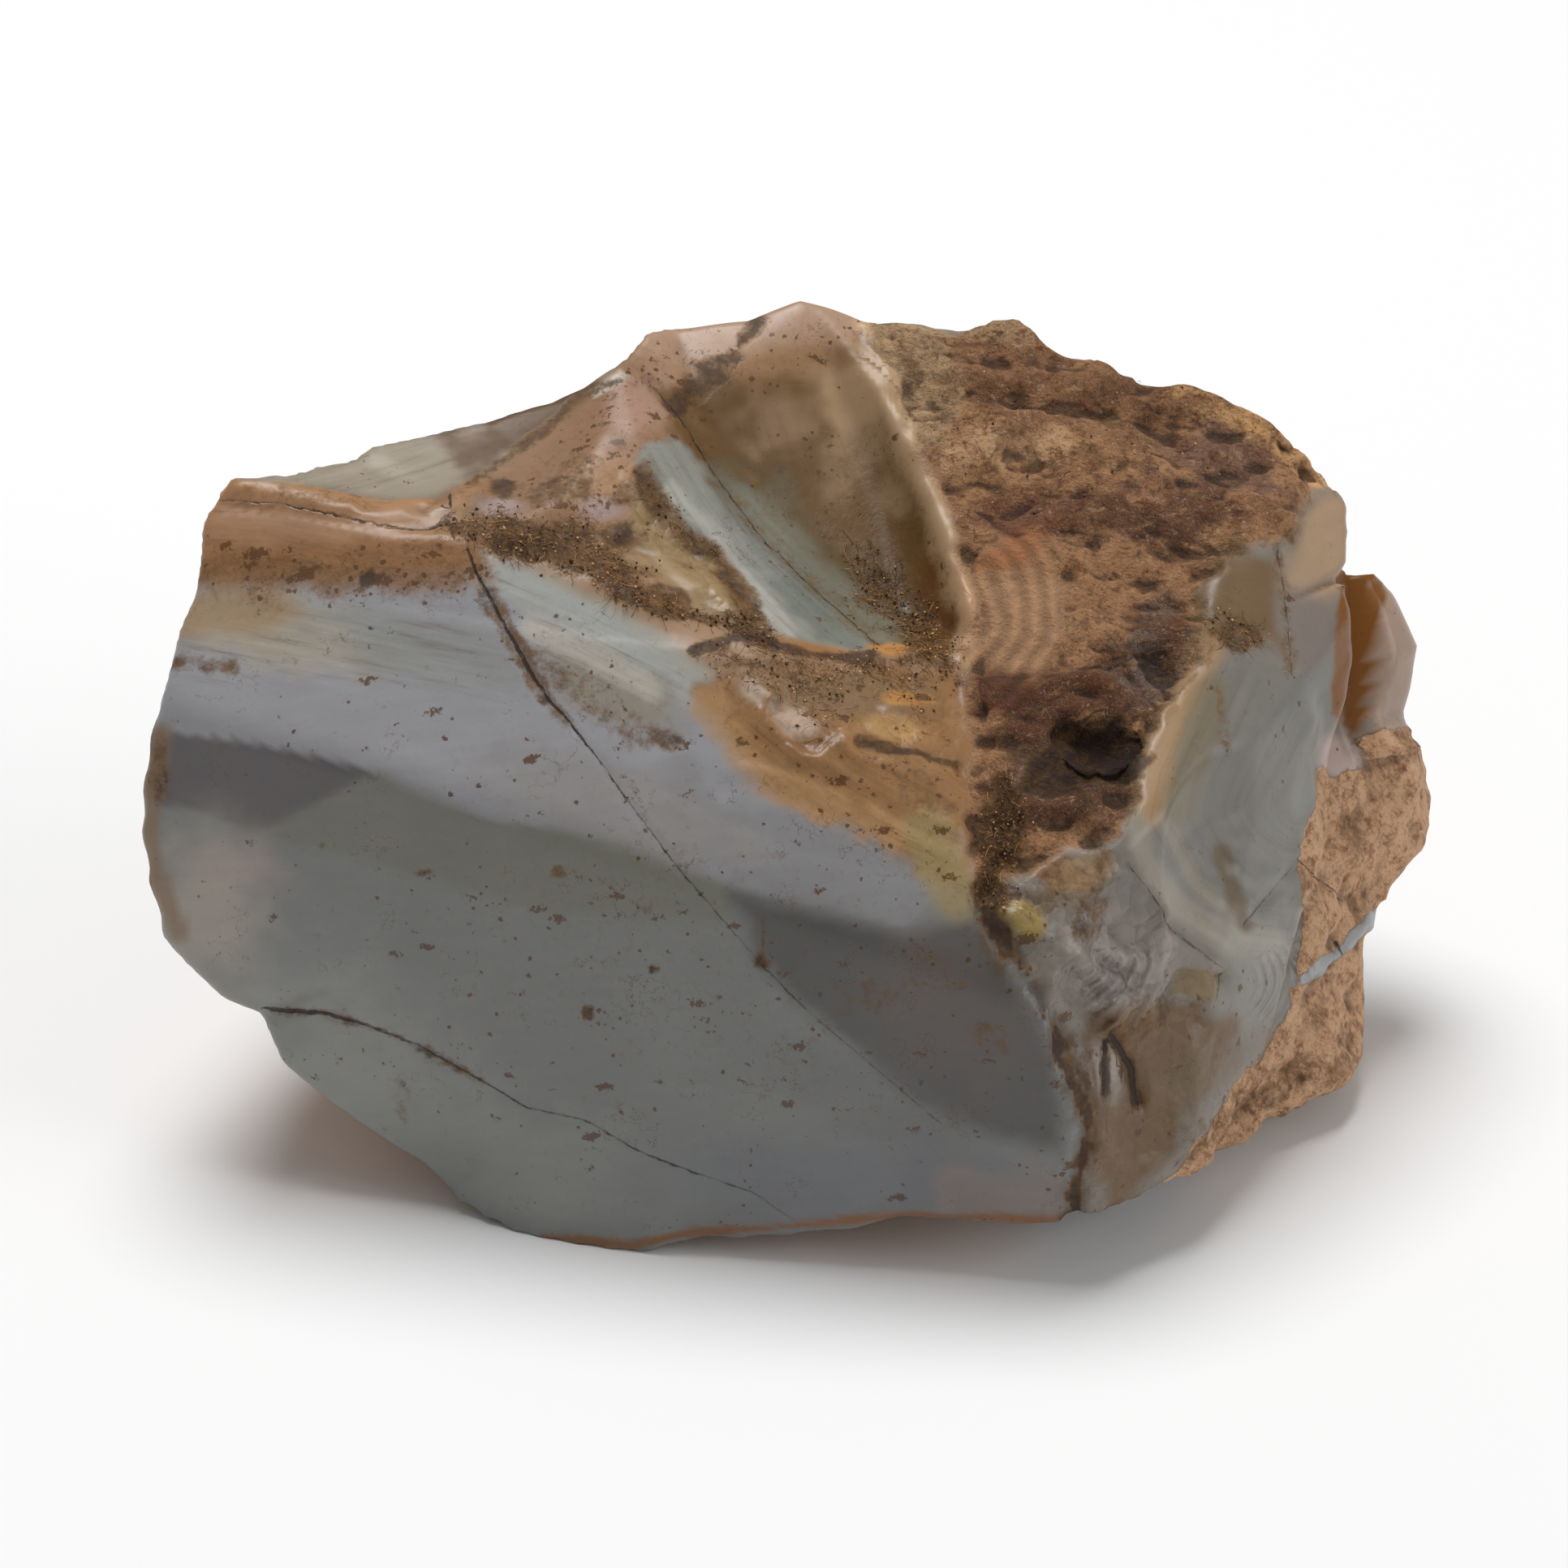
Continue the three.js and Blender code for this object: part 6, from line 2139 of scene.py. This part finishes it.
def terraces(points: Array) -> Array:
    """Broken layers: long noise cut into steps of a third, with a short smooth rise between.

    Args:
        points: places.

    Returns:
        One height for each place.
    """
    turned = points * (0.5, 1, 1) @ np.array(((0.8, 0.36, 0.48), (-0.6, 0.48, 0.64), (0, -0.8, 0.6)))
    value = 3 * noise(turned, 3.2, 34) + 1.8 * noise(turned, 1.4, 35)
    level = np.floor(value)
    return (level + ease((value - level - 0.3) / 0.4) - 0.5) / 3


def line_fields(seen: Seen) -> tuple[Array, Array]:
    """Where each place lies beside the nearest line.

    Args:
        seen: the skin's corners.

    Returns:
        The signed distance to the line, and the line's half width there, in millimetres.
    """
    side = np.full(seen.up.shape, OFF_LINE)
    width = np.full(seen.up.shape, -OFF_LINE)
    front = np.flatnonzero(seen.facing > 0.3)
    for line in LINES:
        distance, along, past = beside(line.path, seen.across[front], seen.up[front])
        stops = np.linspace(0, 1, len(line.widths))
        half = np.interp(along, stops, line.widths) - 0.3 * np.maximum(past, 0)
        nearer = np.abs(distance) < np.minimum(np.abs(side[front]), 0.8)
        side[front[nearer]] = distance[nearer]
        width[front[nearer]] = half[nearer]
    return side, width


def rib_fields(seen: Seen) -> tuple[Array, Array]:
    """The turns and the heights of the highest ripples at each place.

    Args:
        seen: the skin's corners.

    Returns:
        How many ripples lie between the middle and the place, and their height there.
    """
    turn, depth = np.zeros((2, len(seen.up)))
    for ribs in RIBS:
        count, height = ribs.turns(seen)
        height *= seen.facing
        higher = height > depth
        turn[higher], depth[higher] = count[higher], height[higher]
    return turn, depth


@dataclass(frozen=True)
class GrainFinish:
    """Dry soil grains or fibres, each with its own brown."""

    name: str
    dark: Palette = Palette.DARK_STAIN
    middle: Palette = Palette.THIN_STAIN
    light: Palette = Palette.GOLDEN

    def build(self) -> bpy.types.Material:
        """Makes the material, whose colour comes from a value of each grain.

        Returns:
            The material.
        """
        g = NodeGraph(self.name)
        pick = g.field("pick")
        colour = g.blend(g.step(pick, 0.0, 0.6), self.dark.rgba, self.middle.rgba)
        colour = g.blend(g.step(pick, 0.6, 1.0), colour, self.light.rgba)
        return g.surface(colour, g.add(g.times(g.noise(6.0, 3), 0.2), 0.7))


@dataclass
class LooseSoil:
    """Many small bodies of one kind, scattered where the soil is and joined as one piece."""

    lump: OpalLump
    name: str
    count: int
    seed: int

    def __post_init__(self) -> None:
        """Starts the draws and picks a corner of the skin for each body, by how much soil it has."""
        self.rng = np.random.default_rng(self.seed)
        chance = self.lump.fields["soil"] ** 1.5
        chosen = self.rng.choice(len(chance), self.count, p=chance / chance.sum())
        self.places = self.lump.mesh.points[chosen]
        self.normals = self.lump.normals[chosen]

    def join(self, points: Array, one: Array) -> bpy.types.Object:
        """Joins the bodies and gives each a random brown.

        Args:
            points: the corners of each body.
            one: the corner numbers of one body's triangles.

        Returns:
            The piece.
        """
        each = points.shape[1]
        corners = points.reshape(-1, 3)
        corners[:, 2] = np.maximum(corners[:, 2], -BASE_DROP)
        faces = (one + each * np.arange(self.count)[:, None, None]).reshape(-1, 3)
        piece = new_piece(self.name, placed(corners), faces, GrainFinish(self.name).build())
        give_field(piece, "pick", np.repeat(self.rng.uniform(0, 1, self.count), each))
        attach(piece, BODY)
        return piece


@dataclass
class SoilCrumbs(LooseSoil):
    """Loose grains of dry soil that lie in the hollows, each an uneven little block of 8 faces."""

    name: str = "soil_crumbs"
    count: int = 2600
    seed: int = 7
    smallest: float = 0.04
    largest: float = 0.15
    scatter: float = 0.12

    def build(self) -> bpy.types.Object:
        """Makes the grains: 6 points along random axes at uneven lengths about each place.

        Returns:
            The joined grains as one object.
        """
        rng, count = self.rng, self.count
        size = rng.uniform(0, 1, count) ** 3 * (self.largest - self.smallest) + self.smallest
        middle = self.places + rng.normal(0, self.scatter, (count, 3))
        middle = middle + self.normals * (0.3 * size)[:, None]
        turns = np.linalg.qr(rng.normal(size=(count, 3, 3)))[0]
        turns[:, :, 0] *= np.sign(np.linalg.det(turns))[:, None]
        lengths = rng.uniform(0.6, 1.25, (count, 6, 1))
        tips = np.concatenate([turns, -turns], axis=2).transpose(0, 2, 1) * lengths * size[:, None, None]
        block = ((0, 1, 2), (1, 3, 2), (3, 4, 2), (4, 0, 2), (1, 0, 5), (3, 1, 5), (4, 3, 5), (0, 4, 5))
        return self.join(middle[:, None] + tips, np.array(block))


@dataclass
class SoilFibres(LooseSoil):
    """Fine dry root fibres that lie curled on the soil, each a bent tube of three sides."""

    name: str = "soil_fibres"
    count: int = 1400
    seed: int = 8
    steps: int = 5
    thinnest: float = 0.01
    thickest: float = 0.018
    shortest: float = 0.3
    longest: float = 1.1
    bend: float = 1.3
    scatter: float = 0.1

    def build(self) -> bpy.types.Object:
        """Makes the fibres along the skin, each with a heading that turns evenly.

        A fibre lifts a little in the middle, and its rings of three points stand about its line.

        Returns:
            The joined fibres as one object.
        """
        rng, count = self.rng, self.count
        normal = self.normals[:, None]
        side = unit(np.cross(normal, rng.normal(size=(count, 1, 3))))
        ahead = np.cross(side, normal)
        share = np.linspace(0, 1, self.steps + 1)[None, :, None]
        length = rng.uniform(self.shortest, self.longest, (count, 1, 1))
        angle = rng.uniform(-self.bend, self.bend, (count, 1, 1)) * (share - 0.5)
        heading = ahead * np.cos(angle) + side * np.sin(angle)
        lift = 0.05 + rng.uniform(0, 0.16, (count, 1, 1)) * np.sin(np.pi * share)
        start = self.places[:, None] + rng.normal(0, self.scatter, (count, 1, 3))
        line = start + np.cumsum(heading, axis=1) * length / self.steps + normal * lift
        radius = rng.uniform(self.thinnest, self.thickest, (count, 1, 1, 1))
        turn = (TURN / 3 * np.arange(3))[None, None, :, None]
        ring = normal[:, :, None] * np.cos(turn) + np.cross(heading, normal)[:, :, None] * np.sin(turn)
        return self.join((line[:, :, None] + radius * ring).reshape(count, -1, 3), self.tube())

    def tube(self) -> Array:
        """The faces of one fibre: two triangles on each side of each step, and two caps.

        Returns:
            Three corner numbers for each triangle.
        """
        faces = [(0, 2, 1)]
        for ring in range(0, 3 * self.steps, 3):
            for a in range(3):
                b = (a + 1) % 3
                faces += [(ring + a, ring + b, ring + 3 + b), (ring + a, ring + 3 + b, ring + 3 + a)]
        last = 3 * self.steps
        return np.array([*faces, (last, last + 1, last + 2)])


def standing(at: Array, across: Array, up: Array, back: Array) -> Matrix:
    """Where and how a thing stands.

    Args:
        at: the place.
        across: where its X axis points.
        up: where its Y axis points.
        back: where its Z axis points.

    Returns:
        The 4 by 4 matrix.
    """
    made = Matrix.Identity(4)
    for row in range(3):
        for column, axis in enumerate((across, up, back, at)):
            made[row][column] = float(axis[row])
    return made


@dataclass(frozen=True)
class Lamp:
    """A round soft light that faces the lump."""

    name: str
    out: Triple
    size: float
    power: float
    distance: float = 1.0

    def build(self) -> None:
        """Hangs the light at its distance, facing the middle."""
        lamp = bpy.data.lights.new(self.name, "AREA")
        lamp.shape = "DISK"
        lamp.size = self.size
        lamp.energy = self.power
        out = unit(np.array(self.out))
        side = unit(np.cross((0, 1, 0), out))
        put(self.name, lamp).matrix_world = standing(out * self.distance, side, np.cross(out, side), out)


@dataclass(frozen=True)
class Studio:
    """The pale floor, the soft lights and the camera."""

    floor_size: float = 6.0
    floor_tone: Triple = (0.9, 0.9, 0.9)
    lamps: tuple[Lamp, ...] = (
        Lamp("key light", (-0.12, 0.22, 0.97), 0.6, 8.2),
        Lamp("fill light", (0.9, -0.3, 0.4), 0.6, 2.9),
    )
    sky: float = 0.25
    sensor: float = 36.0
    picture_width: float = 96.6

    def build(self) -> None:
        """Sets up the floor, the lights, the sky and the camera."""
        self.floor()
        for lamp in self.lamps:
            lamp.build()
        world = bpy.data.worlds.new("even sky")
        bpy.context.scene.world = world
        world.use_nodes = True
        sky = world.node_tree.nodes["Background"]
        sky.inputs["Color"].default_value = (1, 1, 1, 1)
        sky.inputs["Strength"].default_value = self.sky
        bpy.context.scene.view_settings.view_transform = "Standard"
        self.camera()

    def floor(self) -> None:
        """A plain pale plane under the lump."""
        half = self.floor_size / 2
        corners = np.array([(-half, -half, 0), (half, -half, 0), (half, half, 0), (-half, half, 0)])
        faces = np.array([(0, 1, 2), (0, 2, 3)])
        g = NodeGraph("pale_floor")
        g.surface((*self.floor_tone, 1), 0.9)
        new_piece("floor", corners, faces, g.material)

    def camera(self) -> None:
        """A long lens at arm's length, square to the leaning frame."""
        camera = bpy.data.cameras.new("camera")
        camera.sensor_width = self.sensor
        camera.lens = self.sensor * VIEW.reach / self.picture_width
        camera.clip_start, camera.clip_end = 0.01, 20.0
        made = put("camera", camera)
        made.matrix_world = standing(placed(TOWARD * VIEW.reach), *VIEW.axes)
        bpy.context.scene.camera = made


def main() -> None:
    """Builds the lump, its soil and the studio, and notes the sizes."""
    logging.basicConfig(level=logging.INFO, format="%(name)s: %(message)s")
    Studio().build()
    lump = OpalLump()
    for piece in (lump.build(), SoilCrumbs(lump).build(), SoilFibres(lump).build()):
        log.info("%s: %d faces", piece.name, len(piece.data.polygons))


if __name__ == "__main__":
    main()
